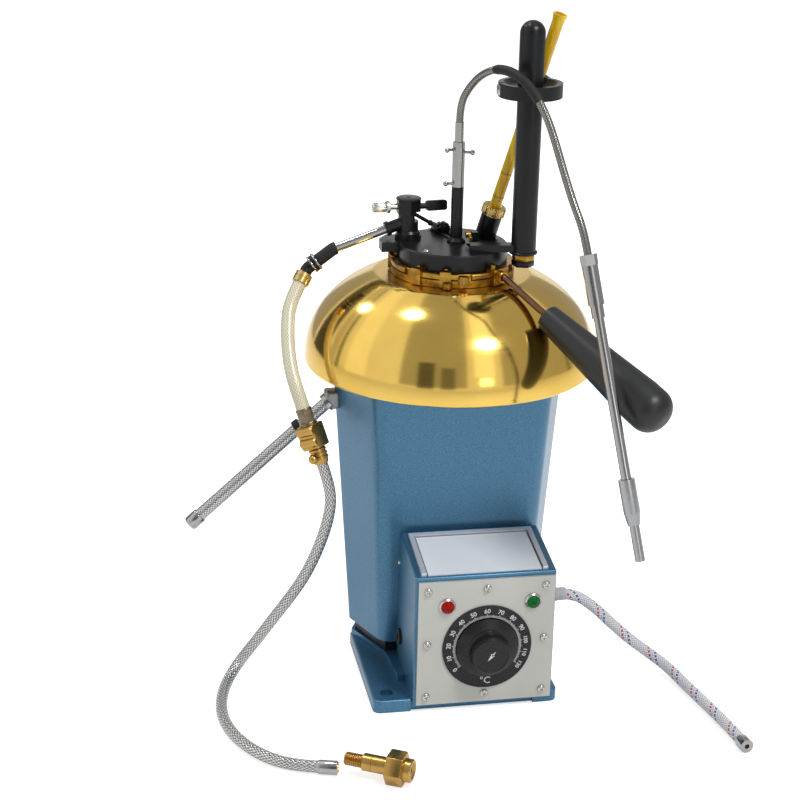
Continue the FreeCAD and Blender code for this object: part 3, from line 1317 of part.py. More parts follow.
# Drive: union nut and sleeve, steel rod, aluminium fitting and the turning spindle in it.
def make_drive():
    start = FreeCAD.Vector(shaft_line[-1])
    tip = drive_tip
    direction = (tip - start).normalize()
    nut = six_sided("drive_nut", "drive_nut_radius", "drive_nut_width", start, direction)
    sleeve_end = "drive_nut_width + drive_sleeve_length"
    sleeve = turned("drive_sleeve", [
        ("0", "0"), ("drive_sleeve_radius - lid_edge", "0"),
        ("drive_sleeve_radius - lid_edge", "drive_nut_width"),
        ("drive_sleeve_radius", "drive_nut_width"), ("drive_sleeve_radius", sleeve_end),
        ("drive_collar_radius", sleeve_end), ("drive_collar_radius", f"{sleeve_end} + drive_collar_length"),
        ("0", f"{sleeve_end} + drive_collar_length"),
    ], start, direction)
    keep(joined("drive_union", [nut, sleeve]), "drive_union")
    rod_start = start + direction * (s.drive_nut_width + s.drive_sleeve_length + s.drive_collar_length)
    keep(rod("drive_rod", "drive_rod_radius", "drive_rod_length", rod_start, direction), "drive_rod")
    fitting_start = rod_start + direction * s.drive_rod_length
    bore = "drive_spindle_radius + drive_spindle_gap"
    end = "drive_fitting_length + drive_cone_length"
    keep(turned("drive_fitting", [
        ("0", "0"), ("drive_fitting_radius", "0"), ("drive_fitting_radius", "drive_fitting_length"),
        ("drive_spindle_radius + lid_edge", end), (bore, end), (bore, f"{end} - drive_bore_depth"),
        ("0", f"{end} - drive_bore_depth"),
    ], fitting_start, direction), "drive_fitting")
    spindle_start = fitting_start + direction * (
        s.drive_fitting_length + s.drive_cone_length - s.drive_bore_depth + s.seat_gap)
    length = (tip - spindle_start).Length
    keep(shaped("drive_spindle", Part.makeCylinder(s.drive_spindle_radius, length, spindle_start,
                                                   direction)), "drive_spindle")


# Control box: folded sheet, open below and behind, with a window behind the front panel.
BACK_SLOPE = "(body_head_depth - body_foot_depth) / body_height"
SCREW_PLACES = [(side, level) for side in ("left", "right") for level in ("low", "middle", "high")]
SCREW_PLACES += [("centre", "low"), ("centre", "high")]
ACROSS_RULES = {"left": "panel_screw_inset - panel_left", "right": "panel_right - panel_screw_inset",
                "centre": "(panel_right - panel_left) / 2"}
LEVEL_RULES = {"low": "panel_bottom + panel_screw_low", "high": "panel_top - panel_screw_low",
               "middle": "(panel_bottom + panel_top) / 2"}
FRONT = FreeCAD.Vector(0, -1, 0)


def make_control_box():
    back_low = f"-(body_foot_depth - {BACK_SLOPE} * plinth_height + box_gap)"
    back_high = f"-(body_foot_depth + {BACK_SLOPE} * (box_back_top - ({PLINTH_TOP})) + box_gap)"
    rest = "box_gap - box_sheet / 5"
    body = doc.addObject("PartDesign::Body", "control_box")
    outer = [("-box_front", "box_bottom"), ("-box_front", "box_front_top"), (back_high, "box_back_top"),
             (back_low, f"{RAISE_TOP} + {rest}"), ("-raise_neck_front - box_gap", f"{RAISE_TOP} + {rest}"),
             ("-raise_neck_front - box_gap", f"base_thickness + {rest}"),
             ("-base_front - box_gap", f"base_thickness + {rest}"), ("-base_front - box_gap", "box_bottom")]
    pad(body, outline(body, "YZ_Plane", outer, "-box_left"), "box_left + box_right")
    fillet(body, "box_edge_radius", lambda edge, middle: middle.z > s.box_bottom + s.box_sheet
           and (middle.y < -s.box_front + s.seat_gap or middle.z > s.box_front_top)
           and middle.y < -s.box_front / 2)
    open_back = "-(body_foot_depth - plinth_inset - cut_overrun)"
    rise = f"(box_back_top - box_front_top) / (box_front + ({back_high}))"
    inner = [("box_sheet - box_front", "-cut_overrun"),
             ("box_sheet - box_front", "box_front_top - box_sheet"),
             (open_back, f"box_front_top - box_sheet + {rise} * (box_front - box_sheet + ({open_back}))"),
             (open_back, "-cut_overrun")]
    sketch = outline(body, "YZ_Plane", inner, "box_sheet - box_left")
    pocket(body, sketch, "box_left + box_right - 2 * box_sheet", onward=True)
    window = [("-window_left", "window_bottom"), ("window_right", "window_bottom"),
              ("window_right", "window_top"), ("-window_left", "window_top")]
    pocket(body, outline(body, "XZ_Plane", window, "box_front + cut_overrun"), "2 * cut_overrun")
    holes = [(ACROSS_RULES[side], LEVEL_RULES[level], "panel_screw_radius + panel_screw_gap")
             for side, level in SCREW_PLACES]
    pocket(body, rounds(body, "XZ_Plane", holes, "box_front + cut_overrun"), "2 * cut_overrun")
    left = [("-grommet_front", "grommet_height", "grommet_hole_radius + panel_screw_gap")]
    pocket(body, rounds(body, "YZ_Plane", left, "cut_overrun - box_left"), "2 * cut_overrun")
    right = [("-gland_front", "gland_height", "gland_neck_radius + panel_screw_gap")]
    pocket(body, rounds(body, "YZ_Plane", right, "box_right + cut_overrun"), "2 * cut_overrun")
    keep(body, "control_box")


# Front panel with its screws, dial, knob, regulator, lamps and bezels.
def make_front():
    body = doc.addObject("PartDesign::Body", "front_panel")
    corners = [("-panel_left", "panel_bottom"), ("panel_right", "panel_bottom"),
               ("panel_right", "panel_top"), ("-panel_left", "panel_top")]
    pad(body, outline(body, "XZ_Plane", corners, "box_front"), "panel_thickness")
    holes = [(ACROSS_RULES[side], LEVEL_RULES[level], "panel_screw_radius + panel_screw_gap")
             for side, level in SCREW_PLACES]
    holes.append(("dial_across", "dial_height", "knob_shaft_radius + knob_shaft_gap"))
    for across in ("lamp_left_across", "lamp_right_across"):
        holes.append((across, "lamp_height", "lamp_radius + lamp_gap"))
    pocket(body, rounds(body, "XZ_Plane", holes, "box_front + panel_thickness + cut_overrun"),
           "panel_thickness + 2 * cut_overrun")
    keep(body, "front_panel")
    face = s.box_front + s.panel_thickness
    across_places = {"left": s.panel_screw_inset - s.panel_left,
                     "right": s.panel_right - s.panel_screw_inset,
                     "centre": (s.panel_right - s.panel_left) / 2}
    level_places = {"low": s.panel_bottom + s.panel_screw_low, "high": s.panel_top - s.panel_screw_low,
                    "middle": (s.panel_bottom + s.panel_top) / 2}
    screws = []
    for side, level in SCREW_PLACES:
        spot = FreeCAD.Vector(across_places[side], -face, level_places[level])
        screws.append(turned("screw", [
            ("0", "-panel_screw_length"), ("panel_screw_radius", "-panel_screw_length"),
            ("panel_screw_radius", "0"), ("panel_screw_head_radius", "0"),
            ("panel_screw_head_radius", "panel_screw_head_height / 2"),
            ("panel_screw_head_radius * 0.6", "panel_screw_head_height"), ("0", "panel_screw_head_height"),
        ], spot, FRONT))
    keep(shaped("panel_screws", compound_of(screws)), "panel_screws")
    bezels = []
    lenses = []
    for across in (s.lamp_left_across, s.lamp_right_across):
        spot = FreeCAD.Vector(across, -face, s.lamp_height)
        bezels.append(turned("bezel", [
            ("lamp_radius + lamp_gap", "0"), ("lamp_bezel_radius", "0"),
            ("lamp_bezel_radius", "lamp_bezel_height / 2"),
            ("lamp_radius + 4 * lamp_gap", "lamp_bezel_height"),
            ("lamp_radius + lamp_gap", "lamp_bezel_height"),
        ], spot, FRONT))
        lenses.append(turned("lens", [
            ("0", "-lamp_barrel_length"), ("lamp_radius", "-lamp_barrel_length"),
            ("lamp_radius", "lamp_rise / 2"), ("lamp_radius * 0.85", "lamp_rise * 0.8"),
            ("lamp_radius * 0.5", "lamp_rise * 0.97"), ("0", "lamp_rise"),
        ], spot, FRONT))
    keep(shaped("lamp_bezels", compound_of(bezels)), "lamp_bezels")
    keep(shaped("lamp_lenses", compound_of(lenses)), "lamp_lenses")
    centre = FreeCAD.Vector(s.dial_across, -face, s.dial_height)
    bore = "knob_shaft_radius + knob_shaft_gap"
    keep(turned("dial_plate", [
        (bore, "0"), ("dial_radius", "0"), ("dial_radius", "dial_thickness"), (bore, "dial_thickness"),
    ], centre, FRONT), "dial_plate")
    keep(turned("control_knob", [
        ("0", "-knob_shaft_length"), ("knob_shaft_radius", "-knob_shaft_length"), ("knob_shaft_radius", "0"),
        ("knob_skirt_radius", "0"), ("knob_skirt_radius", "knob_skirt_edge"),
        ("knob_neck_radius", "knob_neck_height"), ("knob_face_radius", "knob_length"), ("0", "knob_length"),
    ], centre + FRONT * (s.dial_thickness + s.knob_gap), FRONT), "control_knob")
    keep(turned("regulator", [
        ("0", "-regulator_depth"), ("regulator_radius", "-regulator_depth"), ("regulator_radius", "0"),
        (bore, "0"), (bore, "knob_gap - knob_shaft_length"), ("0", "knob_gap - knob_shaft_length"),
    ], centre - FRONT * s.panel_thickness, FRONT), "regulator")


# Label frame and its bare plate on the box's sloped top.
def make_label():
    depth = s.body_foot_depth + (s.body_head_depth - s.body_foot_depth) * (
        s.box_back_top - plinth_top) / s.body_height + s.box_gap
    slope = math.degrees(math.atan2(s.box_back_top - s.box_front_top, s.box_front - depth))
    spot = FreeCAD.Placement(FreeCAD.Vector(0, -s.box_front, s.box_front_top),
                             FreeCAD.Rotation(FreeCAD.Vector(1, 0, 0), slope))
    frame = doc.addObject("PartDesign::Body", "label_frame")
    pad(frame, outline(frame, "XY_Plane", [
        ("-frame_left", "frame_near"), ("frame_strip - frame_left", "frame_near"),
        ("frame_strip - frame_left", "frame_far - frame_strip"),
        ("frame_right - frame_strip", "frame_far - frame_strip"),
        ("frame_right - frame_strip", "frame_near"),
        ("frame_right", "frame_near"), ("frame_right", "frame_far"), ("-frame_left", "frame_far")]),
        "frame_height")
    frame.Placement = spot
    keep(frame, "label_frame")
    plate = doc.addObject("PartDesign::Body", "label_plate")
    inset = "frame_strip + plate_gap"
    pad(plate, outline(plate, "XY_Plane", [
        (f"{inset} - frame_left", "frame_near"), (f"frame_right - ({inset})", "frame_near"),
        (f"frame_right - ({inset})", f"frame_far - ({inset})"),
        (f"{inset} - frame_left", f"frame_far - ({inset})")]), "plate_thickness")
    plate.Placement = spot
    keep(plate, "label_plate")


# Grommet in the box's left side, cable gland in its right side.
def make_side_fittings():
    lip = "-box_sheet - grommet_lip"
    keep(turned("side_grommet", [
        ("grommet_bore_radius", lip), ("grommet_radius", lip), ("grommet_radius", "-box_sheet"),
        ("grommet_hole_radius", "-box_sheet"), ("grommet_hole_radius", "0"), ("grommet_radius", "0"),
        ("grommet_radius", "grommet_lip"), ("grommet_bore_radius", "grommet_lip"),
    ], (-s.box_left, -s.grommet_front, s.grommet_height), FreeCAD.Vector(-1, 0, 0)), "side_grommet")
    keep(turned("cable_gland", [
        ("0", "-gland_nut_width"), ("gland_neck_radius", "-gland_nut_width"), ("gland_neck_radius", "0"),
        ("gland_nut_radius", "0"), ("gland_nut_radius", "gland_nut_width"),
        ("gland_neck_radius", "gland_nut_width"), ("gland_tail_radius", "gland_length"),
        ("0", "gland_length"),
    ], (s.box_right, -s.gland_front, s.gland_height), FreeCAD.Vector(1, 0, 0)), "cable_gland")


# Support arm: a straight braided conduit that leaves a clamp on the body's left corner.
def make_arm(shell_outside):
    direction = heading(180, s.arm_slope)
    root = FreeCAD.Vector(-s.arm_start, 0, deck_bottom - s.arm_drop)
    blank = Part.makeBox(s.clamp_height, s.clamp_width, s.clamp_length)
    blank.translate(FreeCAD.Vector(-s.clamp_height / 2, -s.clamp_width / 2, 0))
    blank = blank.transformed(along(root, direction * -1).toMatrix())
    clamp = blank.cut(shell_outside)
    keep(shaped("arm_clamp", max(clamp.Solids, key=lambda solid: solid.Volume)), "arm_clamp")
    keep(turned("support_arm", [
        ("0", "0"), ("arm_ring_radius", "0"), ("arm_ring_radius", "arm_ring_width"),
        ("arm_radius", "arm_ring_width"), ("arm_radius", "clip_place"), ("clip_radius", "clip_place"),
        ("clip_radius", "clip_place + clip_width"), ("arm_radius", "clip_place + clip_width"),
        ("arm_radius", "arm_length - arm_ferrule_length"),
        ("arm_ferrule_radius", "arm_length - arm_ferrule_length"), ("arm_ferrule_radius", "arm_length"),
        ("0", "arm_length"),
    ], root, direction), "support_arm")


# Loose gas adaptor: thread, barrel, hexagon and bored collar, lying on one flat.
def make_adaptor():
    level = s.adaptor_hex_flats / 2
    start = FreeCAD.Vector(*ADAPTOR_START, level)
    direction = (FreeCAD.Vector(*ADAPTOR_END, level) - start).normalize()
    barrel = "adaptor_thread_length + adaptor_barrel_length"
    body = turned("adaptor_turning", [
        ("0", "0"), ("adaptor_thread_radius", "0"), ("adaptor_thread_radius", "adaptor_thread_length"),
        ("adaptor_barrel_radius", "adaptor_thread_length"), ("adaptor_barrel_radius", barrel),
        ("adaptor_collar_radius", f"{barrel} + adaptor_hex_length / 2"),
        ("adaptor_collar_radius", f"{barrel} + adaptor_hex_length + adaptor_collar_length"),
        ("0", f"{barrel} + adaptor_hex_length + adaptor_collar_length"),
    ], start, direction)
    turn = math.degrees(math.atan2(direction.y, direction.x))
    hexagonal = six_sided("adaptor_hex", "adaptor_hex_flats / 2 / cos(hexagon_turn)", "adaptor_hex_length",
                          start + direction * (s.adaptor_thread_length + s.adaptor_barrel_length),
                          direction, turn - s.hexagon_turn)
    bore = rod("adaptor_bore", "adaptor_bore_radius",
               f"{barrel} + adaptor_hex_length + adaptor_collar_length + 2 * cut_overrun",
               start - direction * s.cut_overrun, direction)
    keep(less("gas_adaptor", joined("adaptor_whole", [body, hexagonal]), [bore]), "gas_adaptor")


make_base()
make_plinth()
shell_outside = make_body_shell()
make_top_plate()
make_bath()
make_dome()
make_cup()
make_ring_fittings()
make_handle()
make_lid()
make_stirrer()
make_shutter()
make_tower()
make_spindle()
make_valves()
make_flame_tip()
make_gas_line()
make_coupling()
make_thermometer()
make_post()
make_collar()
make_drive()
make_control_box()
make_front()
make_label()
make_side_fittings()
make_arm(shell_outside)
make_adaptor()
keep(tube("gas_hose_upper", upper_hose, s.upper_hose_radius), "gas_hose_upper")
keep(tube("gas_hose_lower", lower_hose, s.lower_hose_radius), "gas_hose_lower")
keep(tube("mains_cable", CABLE_ROUTE, s.cable_radius), "mains_cable")
keep(tube("flexible_shaft", shaft_line, s.shaft_radius), "flexible_shaft")
end_piece("hose_ferrule", lower_hose, "hose_ferrule_radius", "hose_ferrule_length", "hose_ferrule_bore")
end_piece("cable_ferrule", CABLE_ROUTE, "cable_ferrule_radius", "cable_ferrule_length", "cable_bore_radius")
doc.recompute()

faults = [item.Label for item in doc.Objects if "Invalid" in item.State or "Error" in item.State]
for piece in nodes:
    if piece.Shape.isNull() or not piece.Shape.isValid() or not piece.Shape.Solids:
        faults.append(piece.Label)
if faults:
    raise RuntimeError("failed pieces: " + ", ".join(faults))
os.makedirs("parts", exist_ok=True)
for piece in nodes:
    piece.Shape.exportStep(os.path.join("parts", f"{piece.Label}.step"))
print(len(nodes), "nodes")
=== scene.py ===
import math

import bmesh
import bpy
from mathutils import Matrix, Vector


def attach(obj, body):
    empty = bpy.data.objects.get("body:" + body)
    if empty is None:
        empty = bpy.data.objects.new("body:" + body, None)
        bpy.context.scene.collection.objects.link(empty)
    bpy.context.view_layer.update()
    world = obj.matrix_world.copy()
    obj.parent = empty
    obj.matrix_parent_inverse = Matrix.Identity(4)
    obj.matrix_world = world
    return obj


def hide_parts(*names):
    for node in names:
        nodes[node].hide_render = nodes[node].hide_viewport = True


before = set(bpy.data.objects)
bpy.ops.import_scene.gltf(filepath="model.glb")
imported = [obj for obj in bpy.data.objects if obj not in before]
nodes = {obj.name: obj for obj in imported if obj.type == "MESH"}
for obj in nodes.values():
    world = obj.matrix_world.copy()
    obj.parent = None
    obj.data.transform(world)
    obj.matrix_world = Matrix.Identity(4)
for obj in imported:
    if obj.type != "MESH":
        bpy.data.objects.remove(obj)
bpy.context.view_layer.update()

# Camera: a long lens ahead of the box, above it and to its left, with a slight roll, as the
# photograph was taken. Everything is placed by the CAD frame, so only the view is set here.
CAMERA_PLACE = Vector((-0.24661, -1.1227, 0.60229))
CAMERA_TURN, CAMERA_TILT, CAMERA_ROLL = -10.8, 20.3555, 1.2
CAMERA_LENS, CAMERA_SENSOR = 83.25, 36


def linked(name, data):
    """A new object in the scene."""
    thing = bpy.data.objects.new(name, data)
    bpy.context.scene.collection.objects.link(thing)
    return thing


turn, tilt, roll = (math.radians(angle) for angle in (CAMERA_TURN, CAMERA_TILT, CAMERA_ROLL))
backward = Vector((math.sin(turn) * math.cos(tilt), -math.cos(turn) * math.cos(tilt), math.sin(tilt)))
level = Vector((math.cos(turn), math.sin(turn), 0))
raised = backward.cross(level)
right = level * math.cos(roll) + raised * math.sin(roll)
above = raised * math.cos(roll) - level * math.sin(roll)
camera = linked("camera", bpy.data.cameras.new("camera"))
camera.data.lens = CAMERA_LENS
camera.data.sensor_width = CAMERA_SENSOR
camera.data.clip_start = 0.05
camera.data.clip_end = 20
camera_axes = Matrix((right, above, backward)).transposed().to_4x4()
camera.matrix_world = Matrix.Translation(CAMERA_PLACE) @ camera_axes
bpy.context.scene.camera = camera
bpy.context.scene.view_settings.view_transform = "Standard"

# Hoses, cable and flexible shaft: real lengths of flexible line, drawn on one smooth curve each.
# The pale gas hose is a braid in a clear skin, the lower one woven steel wire, the cable a woven
# white lead with coloured tracers, and the shaft wound steel with a black sleeve at its bend.
MM = 0.001


def operation(name, swapped=False):
    """A method that adds one Math node."""
    def method(self, *others):
        values = (self, *others)
        return self.owner.node("Math", {"operation": name}, *(values[::-1] if swapped else values))
    return method


class Wire:
    """A shader socket whose arithmetic adds Math nodes to its tree."""

    def __init__(self, owner, socket):
        self.owner = owner
        self.socket = socket

    __add__ = __radd__ = operation("ADD")
    __sub__ = operation("SUBTRACT")
    __rsub__ = operation("SUBTRACT", swapped=True)
    __mul__ = __rmul__ = operation("MULTIPLY")
    __truediv__ = operation("DIVIDE")
    __pow__ = operation("POWER")
    __mod__ = operation("FLOORED_MODULO")
    __gt__ = operation("GREATER_THAN")
    __lt__ = operation("LESS_THAN")
    __abs__ = operation("ABSOLUTE")
    sine = operation("SINE")
    floor = operation("FLOOR")
    most = operation("MAXIMUM")


class Tree:
    """A node tree, with one method that adds any node to it."""

    def __init__(self, tree):
        self.tree = tree

    def feed(self, socket, value):
        """Link a wire to a socket, or set the socket's own value. A colour gets its alpha here."""
        if isinstance(value, Wire):
            self.tree.links.new(value.socket, socket)
        else:
            socket.default_value = (*value, 1.0) if socket.type == "RGBA" else value

    def node(self, kind, settings=None, *values, **named):
        """Add a node: its settings first, then its sockets in order or by name."""
        made = self.tree.nodes.new("ShaderNode" + kind)
        for key, value in (settings or {}).items():
            setattr(made, key, value)
        for socket, value in zip(made.inputs, values):
            self.feed(socket, value)
        for key, value in named.items():
            self.feed(made.inputs[key.replace("_", " ")], value)
        return Wire(self, made.outputs[0])


class Finish(Tree):
    """A surface finish: a Principled shader on the piece's own coordinates."""

    def __init__(self, name, colour, roughness, metallic=0.0, **fixed):
        self.material = bpy.data.materials.new(name)
        self.material.use_nodes = True
        super().__init__(self.material.node_tree)
        self.shader = self.tree.nodes["Principled BSDF"]
        self.colour(colour)
        self.rough(roughness)
        self.feed(self.shader.inputs["Metallic"], metallic)
        for socket, value in fixed.items():
            self.feed(self.shader.inputs[socket.replace("_", " ").title().replace("Ior", "IOR")], value)

    def colour(self, value):
        self.feed(self.shader.inputs["Base Color"], value)

    def rough(self, value):
        self.feed(self.shader.inputs["Roughness"], value)

    def bump(self, height, depth):
        """Relief from a height of 0 to 1, as deep as depth in metres."""
        self.feed(self.shader.inputs["Normal"], self.node("Bump", None, Distance=depth, Height=height))

    def place(self, coordinates="Object"):
        """The point's Object coordinates, or its UV."""
        made = self.tree.nodes.new("ShaderNodeTexCoord")
        return Wire(self, made.outputs[coordinates])

    def axes(self, coordinates="Object"):
        """The coordinates as three wires."""
        made = self.tree.nodes.new("ShaderNodeSeparateXYZ")
        self.feed(made.inputs[0], self.place(coordinates))
        return [Wire(self, output) for output in made.outputs]

    def noise(self, scale, detail=3.0, roughness=0.55, stretch=(1, 1, 1)):
        """Soft noise on Object coordinates, 0 to 1."""
        where = self.node("Mapping", None, self.place(), Scale=stretch)
        return self.node("TexNoise", None, Vector=where, Scale=scale, Detail=detail, Roughness=roughness)

    def ramp(self, share, low, high):
        """A share stretched to 0 at low and 1 at high."""
        return self.node("MapRange", None, share, low, high)

    def blend(self, share, first, second):
        """A colour between two, by a share."""
        made = self.tree.nodes.new("ShaderNodeMix")
        made.data_type = "RGBA"
        for index, value in ((0, share), (6, first), (7, second)):
            self.feed(made.inputs[index], value)
        return Wire(self, made.outputs[2])

    def mottle(self, grain, first, second, rise=None, rough=None, depth=None):
        """Vary the colour by a noise that grain describes, and by choice the roughness and relief."""
        noise = self.noise(*grain)
        self.colour(self.blend(self.ramp(noise, *rise) if rise else noise, first, second))
        if rough:
            self.rough(rough[0] + noise * rough[1])
        if depth:
            self.bump(noise, depth)
        return self


CAD_WELD, CAD_SHARP = 0.000002, math.radians(28)


def dress(finish, *pieces):
    """Give pieces or CAD nodes a finish, and CAD nodes smooth shading between their edges."""
    for item in pieces:
        thing = nodes[item] if isinstance(item, str) else item
        thing.data.materials.clear()
        thing.data.materials.append(finish.material)
        if isinstance(item, str):
            thing.data.polygons.foreach_set("use_smooth", [True] * len(thing.data.polygons))
            thing.modifiers.new("weld", "WELD").merge_threshold = CAD_WELD
            thing.modifiers.new("edges", "EDGE_SPLIT").split_angle = CAD_SHARP


UPPER_HOSE_ROUTE = [
    (-98.4, 5.1, 259.2), (-105.6, -1.3, 248.5), (-108.4, -11.2, 236.2), (-109.1, -20.6, 223.2),
    (-108.1, -29.4, 211.2), (-105.0, -37.5, 199.6), (-102.0, -40.1, 190.2),
]
LOWER_HOSE_ROUTE = [
    (-91.3, -49.2, 156.6), (-88.3, -51.8, 147.3), (-86.0, -53.6, 135.7), (-86.8, -53.5, 123.5),
    (-90.2, -51.8, 108.5), (-95.4, -48.8, 91.9), (-102.1, -46.1, 76.1), (-110.4, -43.5, 61.7),
    (-119.9, -40.2, 46.9), (-131.7, -35.5, 27.7), (-144.2, -35.3, 11.5), (-153.5, -48.0, 4.5),
    (-159.0, -69.0, 4.2), (-160.5, -91.0, 4.2), (-156.5, -112.5, 4.2), (-147.5, -132.5, 4.2),
    (-134.5, -148.5, 4.2), (-119.5, -157.0, 4.3), (-109.6, -160.0, 4.5),
]
CABLE_ROUTE = [
    (66.0, -48.0, 53.0), (79.0, -48.0, 53.0), (94.0, -46.6, 41.5), (106.0, -47.0, 29.2),
    (118.6, -50.2, 17.6), (131.0, -58.9, 9.9), (140.0, -72.6, 6.1), (144.9, -93.6, 4.4),
    (150.6, -123.0, 4.2), (155.0, -149.5, 4.3), (157.0, -168.0, 4.5),
]
SHAFT_ROUTE = [
    (2.0, 0.0, 362.8), (2.0, 0.0, 374.0), (6.0, -6.8, 386.0), (11.5, -17.0, 396.0),
    (18.5, -31.0, 402.0), (27.0, -46.0, 400.5), (35.0, -58.5, 391.0), (40.3, -69.5, 378.0),
    (43.2, -81.5, 363.8), (45.3, -93.8, 350.0), (48.2, -106.0, 335.5), (52.7, -114.6, 321.6),
    (54.8, -118.5, 308.3),
]


def braid(finish, around, along, dark, light, depth, *tracers):
    """A plain weave of crossing strands on the piece's own UV: around and along count them. Its colour is
    painted shade, dark in the valleys between strands and light on their crowns.
    """
    v, u, _ = finish.axes("UV")
    first = u * around + v * along
    second = u * around - v * along
    crossing = (first.floor() + second.floor()) % 2.0
    ridges = [abs((way * math.pi).sine()) for way in (first, second)]
    height = crossing * ridges[0] + (1 - crossing) * ridges[1]
    # Painted shade: the colour follows the strands' relief, from dark in the valleys to light on the crowns.
    shade = finish.blend(height ** 1.4, dark, light)
    for start, colour in tracers:
        thread = ((second.floor() + 100.0 * around + start) % around) < 0.5
        shade = finish.blend(thread * (1 - crossing), shade, colour)
    finish.colour(shade)
    finish.bump(height, depth)
    return finish


def drawn(name, kind, places):
    """A curve through places in metres, and its spline."""
    curve = bpy.data.curves.new(name, "CURVE")
    curve.dimensions = "3D"
    spline = curve.splines.new(kind)
    spline.points.add(len(places) - 1)
    for point, place in zip(spline.points, places):
        point.co = (*place, 1)
    return linked(name + "_guide", curve), spline


def skinned(guide, radius):
    """The capped round skin of a drawn curve, which it uses up."""
    guide.data.bevel_depth = radius * MM
    guide.data.bevel_resolution = 6
    guide.data.use_fill_caps = True
    mesh = bpy.data.meshes.new_from_object(guide)
    bpy.data.objects.remove(guide)
    return mesh


def smooth(mesh, sharp):
    """Smooth shading between the edges that turn by more than sharp degrees."""
    mesh.polygons.foreach_set("use_smooth", [True] * len(mesh.polygons))
    mesh.set_sharp_from_angle(angle=math.radians(sharp))


def line_of(name, route, radius):
    """A hose as a mesh tube along its route's NURBS line, with that line's own points and length."""
    guide, spline = drawn(name, "NURBS", [Vector(place) * MM for place in route])
    guide.data.resolution_u = 16
    spline.order_u = 3
    spline.use_endpoint_u = True
    line = [vertex.co.copy() for vertex in bpy.data.meshes.new_from_object(guide).vertices]
    reach = [0.0]
    for before, after in zip(line, line[1:]):
        reach.append(reach[-1] + (after - before).length)
    tube = linked(name, skinned(guide, radius))
    for corner in tube.data.uv_layers.active.data:
        corner.uv.x = reach[round(corner.uv.x * (len(line) - 1))] / reach[-1]
    smooth(tube.data, 50)
    return tube, line, reach[-1]


def free_line(name, route, radius, finish, body, node):
    """Make a hose, dress it, put it on its body in place of its CAD node and return its line."""
    tube, line, length = line_of(name, route, radius)
    dress(finish, tube)
    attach(tube, body)
    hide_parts(node)
    return line


# Each braid's darker colour is painted shade in the valleys between its strands.
pale_hose = braid(Finish("pale_braided_hose", (0.72, 0.68, 0.50), 0.32, coat_weight=0.6, coat_roughness=0.12),
                  14, 34, (0.50, 0.46, 0.29), (0.84, 0.80, 0.63), 0.0001)
wire_hose = braid(Finish("steel_wire_braid", (0.5, 0.5, 0.5), 0.32, 0.85),
                  12, 92, (0.015, 0.015, 0.015), (0.74, 0.74, 0.73), 0.00036)
cable_skin = braid(Finish("white_woven_lead", (0.7, 0.7, 0.7), 0.5),
                   12, 94, (0.26, 0.26, 0.29), (0.92, 0.92, 0.94), 0.00016,
                   (0.0, (0.50, 0.02, 0.05)), (3.0, (0.03, 0.05, 0.40)))
shaft_skin = braid(Finish("wound_steel_shaft", (0.4, 0.4, 0.4), 0.28, 1.0),
                   8, 100, (0.05, 0.048, 0.046), (0.34, 0.33, 0.31), 0.0001)

free_line("pale_gas_hose", UPPER_HOSE_ROUTE, 4.5, pale_hose, "lid", "gas_hose_upper")
free_line("braided_gas_hose", LOWER_HOSE_ROUTE, 3.7, wire_hose, "lid", "gas_hose_lower")
free_line("mains_lead", CABLE_ROUTE, 3.7, cable_skin, "stand", "mains_cable")
shaft_line = free_line(
    "drive_cable", SHAFT_ROUTE, 2.4, shaft_skin, "lid", "flexible_shaft")

# Base, plinth and body: a cast foot with a bolt hole, a black recessed plinth, and a tapered
# hexagonal casting closed by a deck. All but the plinth wear blue hammered stove paint.
blue_paint = Finish("blue_hammered_paint", (0.06, 0.18, 0.31), 0.36, 0.6, coat_weight=0.25,
                    coat_roughness=0.25)
flakes = blue_paint.noise(2000, 2.0, 0.6)
fresh = blue_paint.blend(blue_paint.ramp(flakes, 0.36, 0.68), (0.035, 0.125, 0.225), (0.09, 0.255, 0.405))
blue_paint.colour(blue_paint.blend(blue_paint.noise(26, 2.0) * 0.4, fresh, (0.04, 0.125, 0.22)))
blue_paint.rough(0.3 + flakes * 0.12)
blue_paint.bump(flakes, 0.00004)
black_paint = Finish("black_satin_paint", (0.01, 0.01, 0.011), 0.34, specular_ior_level=0.3).mottle(
    (60, 3.0), (0.004, 0.0043, 0.0052), (0.009, 0.0097, 0.0115))
grain = black_paint.noise(1600, 2.0)
black_paint.rough(0.26 + grain * 0.1)
black_paint.bump(grain, 0.00002)
dress(blue_paint, "base_plate", "body_shell", "top_plate", "control_box")
dress(black_paint, "plinth")

# Air bath and heater: the iron pot that hangs in the deck under the bell, and the ring heater
# clamped to its floor. Both are cast iron, left as cast.
cast_iron = Finish("cast_iron", (0.10, 0.10, 0.105), 0.6, 0.7).mottle(
    (900, 4.0), (0.07, 0.07, 0.075), (0.14, 0.13, 0.13), depth=0.0001)
dress(cast_iron, "air_bath", "heater")

# Bell: one sheet of brass, spun to a superelliptic dome with a flat top, its lip rolled over a
# wire, and polished on the lathe, which leaves fine rings round it.
TURN = 2 * math.pi


def turned(profile, steps=64):
    """Spin (radius, height) points round Z into a closed skin."""
    shape = bmesh.new()
    points = [shape.verts.new((radius, 0, height)) for radius, height in profile]
    edges = [shape.edges.new(pair) for pair in zip(points, points[1:])]
    bmesh.ops.spin(shape, geom=points + edges, cent=(0, 0, 0), axis=(0, 0, 1), angle=TURN, steps=steps,
                   use_merge=True)
    bmesh.ops.remove_doubles(shape, verts=shape.verts, dist=0.0005)
    bmesh.ops.recalc_face_normals(shape, faces=shape.faces)
    return shape


def hollow(section, steps=48):
    """Spin a closed section, such as a ring's or a sleeve's, round Z."""
    return turned(section + section[:1], steps)


